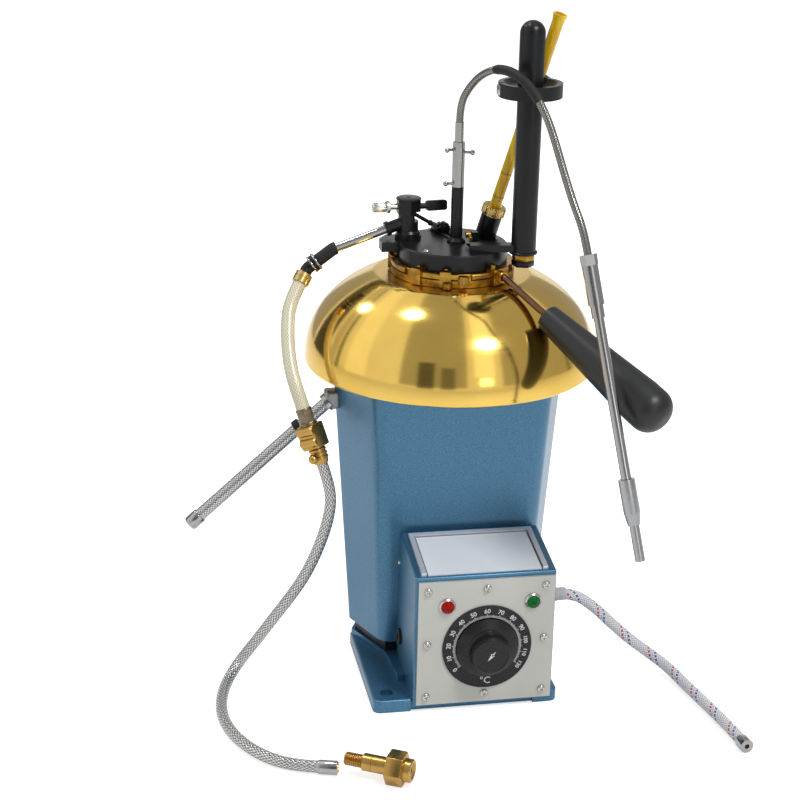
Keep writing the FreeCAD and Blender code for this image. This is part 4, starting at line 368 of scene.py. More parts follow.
def stand(place, direction=(0, 0, 1), spin=0):
    """The matrix that stands a shape made along Z, in millimetres, at a place."""
    lean = Vector(direction).to_track_quat("Z", "Y").to_matrix().to_4x4()
    return (Matrix.Translation(Vector(place) * MM) @ lean @ Matrix.Rotation(math.radians(spin), 4, "Z")
            @ Matrix.Scale(MM, 4))


def mesh_of(name, shape):
    """A shape as a mesh, which it uses up."""
    mesh = bpy.data.meshes.new(name)
    shape.to_mesh(mesh)
    shape.free()
    return mesh


def fit(name, shape, where, finish, body, slot, *stands_for, sharp=35):
    """Put a shape in its place and hand it over with its finish and body, hiding the CAD nodes it stands for.
    The slot is not used.
    """
    shape.transform(where)
    piece = linked(name, mesh_of(name, shape))
    smooth(piece.data, sharp)
    dress(finish, piece)
    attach(piece, body)
    if stands_for:
        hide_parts(*stands_for)


def spun(finish, depth):
    """Fine rings left by the lathe, which stand out by depth."""
    x, y, z = finish.axes()
    where = finish.node("CombineXYZ", None, (x * x + y * y) ** 0.5, z)
    rings = finish.node("TexNoise", None, Vector=where, Scale=900, Detail=3.0, Roughness=0.6)
    finish.bump(rings, depth)
    return rings


BELL_RADIUS, BELL_WALL, BELL_TOP, BELL_RIM = 95.2, 1.2, 265.6, 207.2
FLAT_RADIUS, HOLE_RADIUS, LIP_RADIUS, BELL_SHARE = 50.2, 34.5, 1.8, 2.2
bell_rise = (BELL_TOP - BELL_RIM) / (1 - (FLAT_RADIUS / BELL_RADIUS) ** BELL_SHARE) ** (1 / BELL_SHARE)


def bell_curve(inset, low, high, count):
    """Points down the bell's side from the height high to low."""
    points = []
    for index in range(count + 1):
        level = high + (low - high) * (index / count) ** 0.8
        share = max(0.0, (level - BELL_RIM) / (bell_rise - inset)) ** BELL_SHARE
        points.append(((BELL_RADIUS - inset) * (1 - share) ** (1 / BELL_SHARE), level))
    return points


lip = [(BELL_RADIUS - LIP_RADIUS + LIP_RADIUS * math.cos(math.radians(angle)),
        BELL_RIM + LIP_RADIUS / 2 + LIP_RADIUS * math.sin(math.radians(angle)))
       for angle in range(20, -200, -20)]
bell = turned([(HOLE_RADIUS, BELL_TOP), (FLAT_RADIUS - 0.6, BELL_TOP)]
              + bell_curve(0, BELL_RIM + 2.6, BELL_TOP, 56) + lip
              + bell_curve(BELL_WALL, BELL_RIM + 2.6, BELL_TOP - BELL_WALL, 56)[::-1]
              + [(HOLE_RADIUS, BELL_TOP - BELL_WALL), (HOLE_RADIUS, BELL_TOP)], 192)
polished_brass = Finish("polished_brass", (0.77, 0.52, 0.12), 0.1, 1.0).mottle(
    (18, 4.0), (0.80, 0.55, 0.135), (0.70, 0.45, 0.095), rise=(0.3, 0.75))
on_flat_top = polished_brass.axes()[2] > (BELL_TOP - 0.3) * MM
polished_brass.rough(0.06 + spun(polished_brass, 0.000008) * 0.12 + on_flat_top * 0.14)
fit("bell", bell, stand((0, 0, 0)), polished_brass, "stand", "polished_brass", "dome_cover", sharp=30)

# Cup: a turned brass cup on a wide flange, with a ring of lands and notches screwed to it. The
# ring's lugs, nut, thumb screw and handle socket are machined brass, mottled darker at random.
turned_brass = Finish("machined_brass", (0.5, 0.28, 0.055), 0.26, 1.0).mottle(
    (160, 4.0), (0.50, 0.285, 0.05), (0.20, 0.10, 0.014), rise=(0.35, 0.7))
turned_brass.rough(0.18 + spun(turned_brass, 0.00002) * 0.22)
dress(turned_brass, "cup", "ring_fittings")
FLANGE_TOP, RING_TOP, RING_RADIUS, CUP_RADIUS = 270.4, 274.2, 39.7, 25.4
NOTCH_ANGLES, NOTCH_TURN = (-158, -116, -76, -20, 35, 90, 145), 6.5


def sector(outline, start, end, steps=20):
    """Sweep a closed outline of (radius, height) points from one angle round Z to another."""
    shape = bmesh.new()
    first = Matrix.Rotation(math.radians(start), 4, "Z")
    corners = [shape.verts.new(first @ Vector((radius, 0, height))) for radius, height in outline]
    face = shape.faces.new(corners)
    bmesh.ops.spin(shape, geom=[face] + face.edges[:] + face.verts[:], cent=(0, 0, 0), axis=(0, 0, 1),
                   angle=math.radians(end - start), steps=steps)
    bmesh.ops.recalc_face_normals(shape, faces=shape.faces)
    return shape


def add(whole, part, where=Matrix()):
    """Add one shape to another."""
    part.transform(where)
    scrap = mesh_of("scrap", part)
    whole.from_mesh(scrap)
    bpy.data.meshes.remove(scrap)
    return whole


def block(length, width, height, edge=0.4, steps=2):
    """A box centred on Z and standing on the ground, with rounded edges."""
    shape = bmesh.new()
    bmesh.ops.create_cube(shape, size=1, matrix=Matrix.Translation((0, 0, height / 2))
                          @ Matrix.Diagonal((length, width, height, 1)))
    bmesh.ops.bevel(shape, geom=shape.edges[:], offset=edge, affect="EDGES", segments=steps, profile=0.5,
                    material=-1)
    return shape


def six_sided(radius, height, edge=0.35):
    """A hexagon bar with its edges eased."""
    shape = bmesh.new()
    bmesh.ops.create_cone(shape, cap_ends=True, segments=6, radius1=radius, radius2=radius, depth=height,
                          matrix=Matrix.Translation((0, 0, height / 2)))
    bmesh.ops.bevel(shape, geom=shape.edges[:], offset=edge, affect="EDGES", segments=2, profile=0.5,
                    material=-1)
    return shape


def round_bar(radius, height, edge=0.3):
    """A turned bar with eased ends."""
    return turned([(0, 0), (radius - edge, 0), (radius, edge), (radius, height - edge),
                   (radius - edge, height), (0, height)], 40)


def knurl(shape, ribs, depth, low, high):
    """Press straight grooves into a turned wall between two heights."""
    for vert in shape.verts:
        share = math.atan2(vert.co.y, vert.co.x) / TURN % 1
        if low <= vert.co.z <= high and round(share * 2 * ribs) % 2:
            bmesh.ops.scale(shape, verts=[vert], vec=(1 - depth / vert.co.xy.length,) * 2 + (1,))
    return shape


ring = hollow([(CUP_RADIUS, FLANGE_TOP), (38.6, FLANGE_TOP), (38.1, FLANGE_TOP + 0.5), (38.1, RING_TOP - 0.3),
               (37.8, RING_TOP), (32.6, RING_TOP), (32.6, RING_TOP + 2.8), (31.0, RING_TOP + 2.8),
               (31.0, RING_TOP), (CUP_RADIUS, RING_TOP)], 120)
land = [(37.9, FLANGE_TOP + 0.55), (RING_RADIUS - 0.3, FLANGE_TOP + 0.55),
        (RING_RADIUS, FLANGE_TOP + 0.85), (RING_RADIUS, RING_TOP - 0.6), (RING_RADIUS - 0.5, RING_TOP),
        (37.9, RING_TOP)]
for before, after in zip(NOTCH_ANGLES, NOTCH_ANGLES[1:] + (NOTCH_ANGLES[0] + 360,)):
    add(ring, sector(land, before + NOTCH_TURN, after - NOTCH_TURN))
fit("notched_ring", ring, stand((0, 0, 0)), turned_brass, "cup", "brass", "cup_ring")


def around(radius, angle, height):
    """A place by its distance and angle from the cup's axis."""
    return (radius * math.cos(math.radians(angle)), radius * math.sin(math.radians(angle)), height)


HANDLE_ANGLE = -56.5
fasteners = add(bmesh.new(), six_sided(3.3, 3.6), stand(around(41.6, -106, 266.2)))
thumb = turned([(0, 0), (2.6, 0), (3.0, 0.4), (3.0, 6.2), (2.6, 6.8), (2.2, 6.9), (0, 6.9)], 56)
add(fasteners, knurl(thumb, 28, 0.22, 0.3, 6.3), stand(around(42.9, -92, 267.6)))
add(fasteners, round_bar(1.8, 4.4), stand(around(38.6, -61, 274.4)))
add(fasteners, hollow([(2.2, 0), (3.7, 0), (3.9, 0.3), (3.9, 3.0), (3.5, 3.4), (2.2, 3.4)], 40),
    stand(around(42.2, HANDLE_ANGLE, 271.5), around(1, HANDLE_ANGLE, 0)))
for angle in (-136, -108):
    add(fasteners, round_bar(1.3, 0.9), stand(around(37.9, angle, 276.9)))
loop = turned([(2.6 + 0.9 * math.cos(math.radians(step)), 0.9 * math.sin(math.radians(step)))
               for step in range(0, 361, 30)], 32)
add(fasteners, loop, stand(around(37.6, 166, 275.6), (0.25, -0.6, 0.75)))
fit("ring_fasteners", fasteners, Matrix(), turned_brass, "cup", "brass")

# Cup handle: a bent bronze rod, darkened by heat, driven into a turned black grip.
dark_bronze = Finish("heat_dark_bronze", (0.13, 0.07, 0.04), 0.3, 0.95).mottle(
    (240, 3.0), (0.08, 0.04, 0.022), (0.24, 0.13, 0.075))
dress(dark_bronze, "handle_rod")
grip_black = Finish("black_grip", (0.014, 0.0145, 0.015), 0.45, specular_ior_level=0.45).mottle(
    (1300, 3.0), (0.007, 0.0073, 0.008), (0.014, 0.0147, 0.016), rough=(0.34, 0.14), depth=0.00003)
dress(grip_black, "handle_grip")

# Lid: a thick turned disc in satin black, with a plated rivet and a ribbed block at its back. Flat
# links lie on it, two from the stirrer's foot towards the port and a short one by the tower, with
# a pinned block and two small screws.
dress(black_paint, "lid_plate")
nickel = Finish("bright_nickel", (0.52, 0.50, 0.47), 0.15, 1.0)
nickel.rough(0.18 + nickel.noise(1200, 3.0) * 0.1)
LID_TOP = 285.2
fit("lid_rivet", turned([(0, 0.7), (1.2, 0.62), (2.1, 0.3), (2.3, 0), (0, 0)], 32),
    stand((-21.3, -18.8, LID_TOP)), nickel, "lid", "nickel")
ribbed = add(bmesh.new(), block(10.5, 8.5, 4.2, 0.6))
for across in (-3.4, 0.0, 3.4):
    add(ribbed, block(1.9, 8.0, 1.6, 0.4), Matrix.Translation((across, 0, 4.0)))
fit("ribbed_block", ribbed, stand((-2.8, 26.5, LID_TOP), spin=12), black_paint, "lid", "black_paint")
links = bmesh.new()
for start, end, rise, width, height in (
        ((0.3, -5.6), (4.4, -20.7), 0, 1.8, 1.0), ((-2.6, -6.0), (-0.8, -29.6), 0, 1.8, 1.0),
        ((-21.6, 6.4), (-12.2, 4.3), 0, 1.3, 1.3), ((2.8, -21.6), (6.6, -19.4), 1, 1.6, 3.4)):
    run, middle = Vector(end) - Vector(start), (Vector(start) + Vector(end)) / 2
    add(links, block(run.length, width, height, 0.25),
        Matrix.Translation((*middle, LID_TOP + rise)) @ Matrix.Rotation(math.atan2(run.y, run.x), 4, "Z"))
add(links, round_bar(0.7, 6.2), Matrix.Translation((3.4, -19.6, LID_TOP + 2)))
fit("shutter_links", links, stand((0, 0, 0)), black_paint, "lid", "black_paint")
dots = bmesh.new()
for place in ((-0.8, -28.4, LID_TOP + 1), (9.4, -30.2, LID_TOP)):
    add(dots, turned([(0, 1.3), (0.9, 1.1), (1.25, 0.5), (1.3, 0), (0, 0)], 24), Matrix.Translation(place))
fit("link_screws", dots, stand((0, 0, 0)), nickel, "lid", "nickel")

# Stirrer drive: a black bearing tube on the lid, a ground steel sleeve with ball-ended pins, and
# the paddle shaft and shutter, which work out of sight below.
ground_steel = Finish("ground_steel", (0.56, 0.555, 0.55), 0.24, 1.0).mottle(
    (1500, 2.0, 0.5), (0.32, 0.316, 0.312), (0.42, 0.416, 0.412), rough=(0.13, 0.08))
dress(black_paint, "stirrer_bearing")
dress(ground_steel, "coupling_sleeve", "stirrer")
dress(turned_brass, "shutter", "flame_tip")

# Gas tower: a turned valve body on a pad, its hexagonal head under a round cap, with the knurled
# needle knob, the black wing tap and the pin lever with its ball.
dress(black_paint, "flame_tower", "lever_spindle", "gas_wing")
UP = Vector((0, 0, 1))
TOWER_FOOT = Vector((-27, 13, 287.5))
cap = turned([(0, 0), (7.9, 0), (8.2, 0.3), (8.2, 0.9), (7.4, 1.3), (1.4, 1.3), (0.9, 0.8), (0, 0.8)], 64)
fit("tower_cap", cap, stand(TOWER_FOOT + UP * 23.1), black_paint, "lid", "black_paint")
needle_heading = Vector(around(1, 186, 0))
knob = turned([(0, 0), (1.9, 0), (1.9, 7.0), (3.4, 7.0), (4.0, 7.5), (4.0, 9.1), (3.5, 9.6), (2.6, 9.8),
               (2.9, 10.0), (3.1, 10.2), (3.1, 17.9), (2.7, 18.4), (1.0, 18.6), (0, 18.6)], 48)
knurl(knob, 24, 0.3, 10.1, 18.0)
fit("needle_thumb_screw", knob, stand(TOWER_FOOT + UP * 18.6 + needle_heading * 5.6, needle_heading),
    nickel, "needle_valve", "nickel", "needle_knob")

# Gas line: a polished steel tube into a black rubber sleeve, a black elbow whose nut has two
# steel washers, and a brass ferrule with a crimped waist on the hose.
rubber = Finish("black_rubber", (0.01, 0.01, 0.01), 0.5, specular_ior_level=0.28).mottle(
    (500, 4.0), (0.008, 0.008, 0.008), (0.018, 0.018, 0.019), rough=(0.45, 0.2))
rubber.bump(rubber.noise(1400), 0.00002)
dress(ground_steel, "gas_tube")
dress(rubber, "tube_sleeve")
dress(black_paint, "hose_elbow")
ELBOW_NUT, NUT_HEADING = (-86.4, 9.2, 272.7), (-0.8118, -0.0492, -0.5822)
washers = hollow([(5.2, 0.5), (6.0, 0.5), (6.1, 0.7), (6.1, 1.3), (6.0, 1.5), (5.2, 1.5)])
add(washers, hollow([(5.2, 3.9), (6.0, 3.9), (6.1, 4.1), (6.1, 4.6), (5.9, 4.8), (5.2, 4.8)]))
fit("elbow_washers", washers, stand(ELBOW_NUT, NUT_HEADING), ground_steel, "lid", "steel")
light_brass = Finish("light_brass", (0.66, 0.48, 0.18), 0.22, 1.0).mottle(
    (900, 3.0), (0.58, 0.41, 0.15), (0.70, 0.52, 0.22), rough=(0.16, 0.16))
dress(light_brass, "top_ferrule")

# Hose coupling: a darkened six-sided ferrule, a square brass block with two round lobes and a
# ringed lower ferrule, on one axis between the two hoses, with a ball-ended thumb screw in its side.
COUPLING_START, COUPLING_END = Vector(UPPER_HOSE_ROUTE[-1]), Vector(LOWER_HOSE_ROUTE[0])
coupling_run = COUPLING_END - COUPLING_START
SIDEWAYS = Matrix.Rotation(math.pi / 2, 4, "X")
aged_ferrule = Finish("aged_ferrule", (0.2, 0.15, 0.09), 0.34, 0.9).mottle(
    (300, 3.0), (0.13, 0.095, 0.055), (0.3, 0.24, 0.15))
adaptor_brass = Finish("adaptor_brass", (0.45, 0.27, 0.075), 0.24, 1.0).mottle(
    (120, 4.0), (0.36, 0.20, 0.05), (0.56, 0.36, 0.11), rough=(0.18, 0.2))
ferrule = six_sided(5.4, 10.2, 0.4)
add(ferrule, hollow([(4.4, -0.6), (5.0, -0.4), (5.2, 0.2), (5.2, 1.2), (4.4, 1.4)], 36))
add(ferrule, hollow([(4.6, 8.6), (5.5, 8.6), (5.7, 9.0), (5.7, 10.4), (4.6, 10.4)], 36))
fit("coupling_ferrule", ferrule, stand(COUPLING_START, coupling_run), aged_ferrule, "lid", "brass",
    "hose_coupling")
cock = add(bmesh.new(), block(13.0, 13.0, 15.5, 1.0, 3), Matrix.Translation((0, 0, 10.4)))
for height in (13.6, 21.2):
    add(cock, turned([(0, -6.4), (2.4, -6.4), (3.4, -5.4), (3.4, 5.4), (2.4, 6.4), (0, 6.4)], 32),
        Matrix.Translation((-5.2, 0, height)) @ SIDEWAYS)
tail = [(0, 25.8), (4.6, 25.8)]
for height in (26.4, 29.0, 31.6):
    tail += [(5.0, height), (5.6, height + 0.3), (5.6, height + 1.7), (5.0, height + 2.0)]
add(cock, turned(tail + [(4.7, 34.8), (4.5, 36.4), (0, 36.4)], 48))
fit("coupling_block", cock, stand(COUPLING_START, coupling_run), adaptor_brass, "lid", "brass")
screw_heading = Vector(around(1, 235, 0))
screw = turned([(0, 0), (1.5, 0), (1.5, 5.4), (2.3, 5.8), (2.9, 7.0), (3.0, 8.2), (2.7, 9.6), (1.8, 10.7),
                (0.8, 11.1), (0, 11.1)], 36)
fit("coupling_thumb_screw", screw, stand(COUPLING_START + coupling_run * 0.855, screw_heading),
    adaptor_brass, "lid", "brass")
dress(ground_steel, "hose_ferrule", "cable_ferrule")
hose_end = Vector(LOWER_HOSE_ROUTE[-1]) - Vector(LOWER_HOSE_ROUTE[-2])
bore = hollow([(2.3, 10.4), (2.3, 13.0), (2.5, 13.4), (3.3, 13.4), (3.5, 13.0), (3.5, 12.4), (2.6, 12.0),
               (2.6, 10.4)], 36)
fit("hose_bore", bore, stand(LOWER_HOSE_ROUTE[-1], hose_end), light_brass, "lid", "brass")

# Thermometer: an amber-tinted tube with a flared mouth and two dark rings round it, held in a
# leaning black socket by a knurled brass nut.
amber = Finish("amber_glass", (0.80, 0.50, 0.02), 0.12, coat_weight=0.25, coat_roughness=0.04,
               specular_ior_level=0.3).mottle(
    (260, 2.0, 0.5, (1, 1, 0.12)), (0.60, 0.33, 0.001), (1.0, 0.66, 0.003), rise=(0.35, 0.7))
dress(amber, "thermometer_tube")
dress(black_paint, "thermometer_socket")
THERMO_FOOT = Vector((22.7, 8.6, LID_TOP))
thermo_heading = Vector((27.3, -20.1, 110.8)).normalized()
collar_nut = hollow([(3.75, 0), (7.3, 0), (7.8, 0.4), (7.8, 5.2), (7.0, 6.0), (5.2, 6.0), (4.6, 5.4),
                     (3.75, 5.2)], 96)
knurl(collar_nut, 24, 0.8, 0.3, 5.4)
fit("knurled_nut", collar_nut, stand(THERMO_FOOT + thermo_heading * 16.8, thermo_heading), light_brass,
    "thermometer_nut", "brass", "thermometer_nut")
bands = bmesh.new()
for low in (29.6, 46.0):
    add(bands, hollow([(3.6, low), (3.85, low + 0.1), (3.85, low + 0.4), (3.6, low + 0.5)]))
fit("tube_rings", bands, stand(THERMO_FOOT, thermo_heading), dark_bronze, "lid", "dark_bronze")
foot_screws = bmesh.new()
for angle in (-150, -35):
    add(foot_screws, turned([(0, 1.4), (0.9, 1.2), (1.3, 0.5), (1.4, 0), (0, 0)], 24),
        stand(THERMO_FOOT + Vector(around(8.4, angle, 0))))
fit("socket_screws", foot_screws, Matrix(), nickel, "lid", "nickel")

# Post: a domed black column on a flat bar, clamped by a brass nut and a black lock nut, with a
# dished black collar that guides the thermometer and has a plated slot screw.
dress(black_paint, "post_bar", "post_collar")
POST_FOOT, POST_RADIUS, POST_LENGTH = Vector((40.0, -26.0, 284.0)), 7.9, 146.0
column = [(0, -9.0), (3.4, -9.0), (3.4, 0), (POST_RADIUS - 0.3, 0), (POST_RADIUS, 0.3)]
column += [(POST_RADIUS * math.cos(math.radians(angle)),
            POST_LENGTH - POST_RADIUS * (1 - math.sin(math.radians(angle)))) for angle in range(0, 91, 6)]
fit("post_column", turned(column, 64), stand(POST_FOOT), black_paint, "lid", "black_paint", "support_post")
nut = six_sided(7.4, 4.4, 0.5)
add(nut, hollow([(3.6, 4.0), (6.4, 4.0), (6.6, 4.2), (6.6, 4.5), (3.6, 4.5)], 40))
fit("post_nut", nut, stand(POST_FOOT - UP * 4.5), turned_brass, "lid", "brass", "post_nuts")
lock = six_sided(7.4, 4.0, 0.6)
fit("post_lock_nut", lock, stand(POST_FOOT - UP * 8.5, spin=14), black_paint, "lid", "black_paint")
washer = hollow([(6.8, 0), (8.8, 0), (9.0, 0.3), (9.0, 1.2), (8.6, 1.5), (6.8, 1.5)], 56)
fit("post_washer", washer, stand(POST_FOOT - UP * 0.2), black_paint, "lid", "black_paint")
slotted = turned([(0, 0), (1.7, 0), (1.9, 0.3), (1.9, 1.6), (1.4, 2.1), (0.5, 2.1), (0.4, 1.5), (0, 1.5)], 32)
clamp_end = add(block(5.4, 4.6, 6.4, 0.8), slotted, Matrix.Translation((0, -2.2, 3.2)) @ SIDEWAYS)
fit("collar_clamp", clamp_end, stand((21.6, -26.4, 384.6)), nickel, "lid", "nickel")

# Drive end: a plated union on the flexible shaft, a steel rod and a turned aluminium fitting in
# which the drive spindle runs. A black shrink sleeve covers the shaft at its bend.
aluminium = Finish("turned_aluminium", (0.6, 0.605, 0.61), 0.3, 1.0).mottle(
    (900, 2.0, 0.6, (1, 1, 0.3)), (0.32, 0.325, 0.33), (0.42, 0.425, 0.43), rough=(0.24, 0.1))
dress(aluminium, "drive_fitting", "drive_spindle")
dress(ground_steel, "drive_union", "drive_rod")


def stretch_of(line, start, end, radius, taper):
    """A sleeve along part of a cord's own line, narrowed at its ends."""
    places = line[int(start * (len(line) - 1)):int(end * (len(line) - 1)) + 1]
    guide, spline = drawn("stretch", "POLY", places)
    for index, point in enumerate(spline.points):
        ends = min(index, len(places) - 1 - index)
        point.radius = 1 - taper * (1 - min(1, ends / 3)) ** 2
    shape = bmesh.new()
    shape.from_mesh(skinned(guide, radius))
    return shape


shrink_sleeve = stretch_of(shaft_line, 0.30, 0.53, 3.0, 0.12)
fit("shaft_shrink_sleeve", shrink_sleeve, Matrix(), rubber, "lid", "black_rubber")

# Control box: a folded blue sheet box with an off-white enamelled front panel, held by eight
# plated pan-head screws with crossed recesses.
enamel = Finish("off_white_enamel", (0.57, 0.57, 0.535), 0.42, coat_weight=0.3, coat_roughness=0.25).mottle(
    (30, 3.0), (0.545, 0.545, 0.51), (0.60, 0.60, 0.565))
enamel.bump(enamel.noise(1200), 0.000012)
dress(enamel, "front_panel")
FACE = -99.4
FRONT = Vector((0, -1, 0))


def cut(shape, tool):
    """Take one shape out of another with a boolean, and return what is left."""
    whole, taken = [linked("cutting", mesh_of("cutting", item)) for item in (shape, tool)]
    modifier = whole.modifiers.new("cut", "BOOLEAN")
    modifier.operation = "DIFFERENCE"
    modifier.object = taken
    modifier.solver = "EXACT"
    bpy.context.view_layer.update()
    graph = bpy.context.evaluated_depsgraph_get()
    left = bmesh.new()
    left.from_mesh(bpy.data.meshes.new_from_object(whole.evaluated_get(graph)))
    for item in (whole, taken):
        bpy.data.objects.remove(item)
    return left


def pan_head():
    """A pan-head screw with a tapered crossed recess."""
    head = turned([(0, -0.4), (1.4, -0.4), (1.4, 0), (2.55, 0), (2.6, 0.2), (2.6, 0.75), (2.4, 1.2),
                   (1.95, 1.6), (1.2, 1.82), (0.6, 1.88), (0, 1.9)], 36)
    for angle in (0, 90):
        tool = block(2.7, 0.62, 3, 0.05, 1)
        tool.transform(Matrix.Translation((0, 0, 0.85)) @ Matrix.Rotation(math.radians(angle), 4, "Z"))
        head = cut(head, tool)
    return head


PANEL_LOW, PANEL_HIGH, PANEL_LEFT, PANEL_RIGHT = 5.9, 92.3, -36.7, 51.6
SCREW_INSET, SCREW_DROP = 6.1, 6.0
across_places = (PANEL_LEFT + SCREW_INSET, (PANEL_RIGHT + PANEL_LEFT) / 2, PANEL_RIGHT - SCREW_INSET)
level_places = (PANEL_LOW + SCREW_DROP, (PANEL_LOW + PANEL_HIGH) / 2, PANEL_HIGH - SCREW_DROP)
screws = bmesh.new()
for row, level in enumerate(level_places):
    for column, across in enumerate(across_places):
        if (row, column) != (1, 1):
            add(screws, pan_head(), stand((across, FACE, level), FRONT, 20 + 37 * row + 61 * column))
fit("panel_screw_heads", screws, Matrix(), nickel, "stand", "nickel", "panel_screws", sharp=28)

# Dial and knob: a black disc printed in white with a scale of ticks and plain numbers, and a
# moulded knob with a wide skirt, a deep cap and a small white pointer.
black_plastic = Finish("black_moulded_plastic", (0.012, 0.012, 0.012), 0.3, specular_ior_level=0.28).mottle(
    (900, 2.0), (0.008, 0.008, 0.0085), (0.016, 0.016, 0.017), rough=(0.22, 0.14), depth=0.00001)
dress(black_plastic, "dial_plate", "regulator")
DIAL = Vector((8.3, FACE - 1.0, 45.3))
KNOB_LIFT, KNOB_HEIGHT = 0.5, 12.7
FIRST_MARK, LAST_MARK, NUMBERS, NUMBER_RADIUS, TICKS, TICK_RADIUS = 216, -33, 13, 25.2, 121, 20.7
white_print = Finish("white_print", (0.78, 0.78, 0.78), 0.5).mottle(
    (700,), (0.7, 0.7, 0.7), (0.84, 0.84, 0.84))


def figures(text, size):
    """Flat raised lettering in millimetres, centred on the origin."""
    curve = bpy.data.curves.new("figures", "FONT")
    curve.body = text
    curve.size = size
    curve.align_x = "CENTER"
    curve.align_y = "CENTER"
    curve.extrude = 0.06
    curve.offset = 0.05
    curve.resolution_u = 3
    thing = bpy.data.objects.new("figures", curve)
    shape = bmesh.new()
    shape.from_mesh(bpy.data.meshes.new_from_object(thing))
    bpy.data.objects.remove(thing)
    return shape


def on_scale(share, place):
    """The matrix that takes a mark made above the dial's centre to its share of the scale."""
    angle = FIRST_MARK + (LAST_MARK - FIRST_MARK) * share
    return Matrix.Rotation(math.radians(angle - 90), 4, "Z") @ Matrix.Translation(place)


marks = bmesh.new()
for index in range(NUMBERS):
    add(marks, figures(str(index * 10), 4.2 if index < 10 else 3.7),
        on_scale(index / (NUMBERS - 1), (0, NUMBER_RADIUS, 0.06)))
for index in range(TICKS):
    tall = 2.5 if index % 10 == 0 else 2.0 if index % 5 == 0 else 1.6
    tick = bmesh.new()
    where = on_scale(index / (TICKS - 1), (0, TICK_RADIUS + tall / 2, 0.03))
    bmesh.ops.create_cube(tick, size=1, matrix=where @ Matrix.Diagonal((0.32, tall, 0.1, 1)))
    add(marks, tick)
add(marks, figures("°C", 6.6), Matrix.Translation((-0.6, -24.0, 0.06)))
flat_on_panel = Matrix.Translation(DIAL * MM) @ SIDEWAYS @ Matrix.Scale(MM, 4)
fit("dial_print", marks, flat_on_panel, white_print, "stand", "label")
knob = turned([(0, 0), (19.7, 0), (20.2, 0.4), (20.2, 1.4), (19.6, 1.8), (15.6, 3.5), (14.2, 4.0),
               (13.6, 4.0), (13.1, 4.6), (12.5, 6.4), (12.8, 6.9), (12.6, 11.6), (12.3, 12.5), (11.6, 13.0),
               (11.0, 12.9), (10.7, KNOB_HEIGHT), (0, KNOB_HEIGHT)], 96)
fit("skirted_knob", knob, flat_on_panel @ Matrix.Translation((0, 0, KNOB_LIFT)), black_plastic, "knob",
    "black_plastic", "control_knob", sharp=24)
pointer = bmesh.new()
for place, angle, width, length in (((0, 0, 0.1), -38, 0.95, 4.2), ((0.5, 0.9, 0.1), 52, 0.7, 1.8)):
    bar = bmesh.new()
    bmesh.ops.create_cone(bar, cap_ends=True, segments=4, radius1=1, radius2=0.86, depth=0.3)
    add(pointer, bar, Matrix.Translation(place) @ Matrix.Rotation(math.radians(angle), 4, "Z")
        @ Matrix.Diagonal((width, length, 1, 1)))
fit("knob_pointer", pointer, flat_on_panel @ Matrix.Translation((0, 0, KNOB_LIFT + KNOB_HEIGHT + 0.05)),
    white_print, "knob", "label")

# Lamps: a red and a green moulded lens, each domed and darker in its middle, in plated bezels
# on the panel. The red one stands for the CAD node of both.
dress(nickel, "lamp_bezels")
LAMP_HEIGHT, LENS_RADIUS = 75.5, 4.3
for name, across, deep, bright, slot, replaced in (
        ("red_lamp", -18.3, (0.24, 0.001, 0.002), (0.42, 0.002, 0.003), "lens", ["lamp_lenses"]),
        ("green_lamp", 37.3, (0.001, 0.09, 0.015), (0.002, 0.17, 0.03), "lens_green", [])):
    lens = Finish(name + "_lens", bright, 0.06, specular_ior_level=0.14)
    x, _, z = lens.axes()
    aside, higher = x - across * MM, z - LAMP_HEIGHT * MM
    away = (aside * aside + higher * higher) ** 0.5 / (LENS_RADIUS * MM)
    lens.colour(lens.blend(lens.ramp(away, 0.15, 0.75), deep, bright))
    dome = turned([(0, -5.0), (LENS_RADIUS, -5.0), (LENS_RADIUS, 0.9), (4.1, 1.8), (3.4, 2.6), (2.3, 3.1),
                   (1.1, 3.35), (0, 3.4)], 48)
    fit(name, dome, stand((across, FACE, LAMP_HEIGHT), FRONT), lens, "stand", slot, *replaced)

# Label: a thin pale plate with a dark line round three sides, held in a bright aluminium frame
# that lies on the box's sloped top.
LINE_LEFT, LINE_RIGHT, LINE_BACK = -30.3, 43.0, -52.8
label_face = Finish("pale_label_plate", (0.68, 0.73, 0.81), 0.3, coat_weight=0.4, coat_roughness=0.1)
x, y, _ = label_face.axes()
border = (x < LINE_LEFT * MM) + (x > LINE_RIGHT * MM) + (y > LINE_BACK * MM)
face = label_face.blend(label_face.noise(24, 2.0), (0.82, 0.86, 0.93), (0.88, 0.92, 0.97))
label_face.colour(label_face.blend(border, face, (0.12, 0.12, 0.13)))
dress(label_face, "label_plate")
frame_silver = Finish("satin_silver_frame", (0.72, 0.74, 0.77), 0.32, 0.45).mottle(
    (300, 3.0), (0.66, 0.68, 0.72), (0.78, 0.8, 0.83))
dress(frame_silver, "label_frame")

# Side fittings: a rubber grommet in the box's left side with a small screw above it, and the
# cable's gland on the right, whose ribbed tail tapers along the cable as its strain relief.
dress(rubber, "side_grommet")
fit("side_screw", turned([(0, 1.0), (1.2, 0.9), (1.8, 0.4), (1.9, 0), (0, 0)], 28),
    stand((-38.7, -42.0, 80.7), (-1, 0, 0)), nickel, "stand", "nickel")
relief = turned([(0, -4.0), (5.6, -4.0), (5.6, 0), (7.2, 0), (7.5, 0.3), (7.5, 3.7), (7.0, 4.2), (5.8, 4.4),
                 (5.4, 5.2), (5.4, 6.4), (5.0, 6.7), (5.0, 7.5), (5.3, 7.8), (5.2, 9.2), (4.8, 9.5),
                 (4.8, 10.3), (5.0, 10.6), (4.9, 12.0), (4.6, 12.3), (4.6, 13.2), (4.7, 13.5), (4.6, 15.0),
                 (4.3, 15.3), (4.3, 16.2), (4.4, 16.5), (4.3, 20.5), (4.0, 21.0), (0, 21.0)], 48)
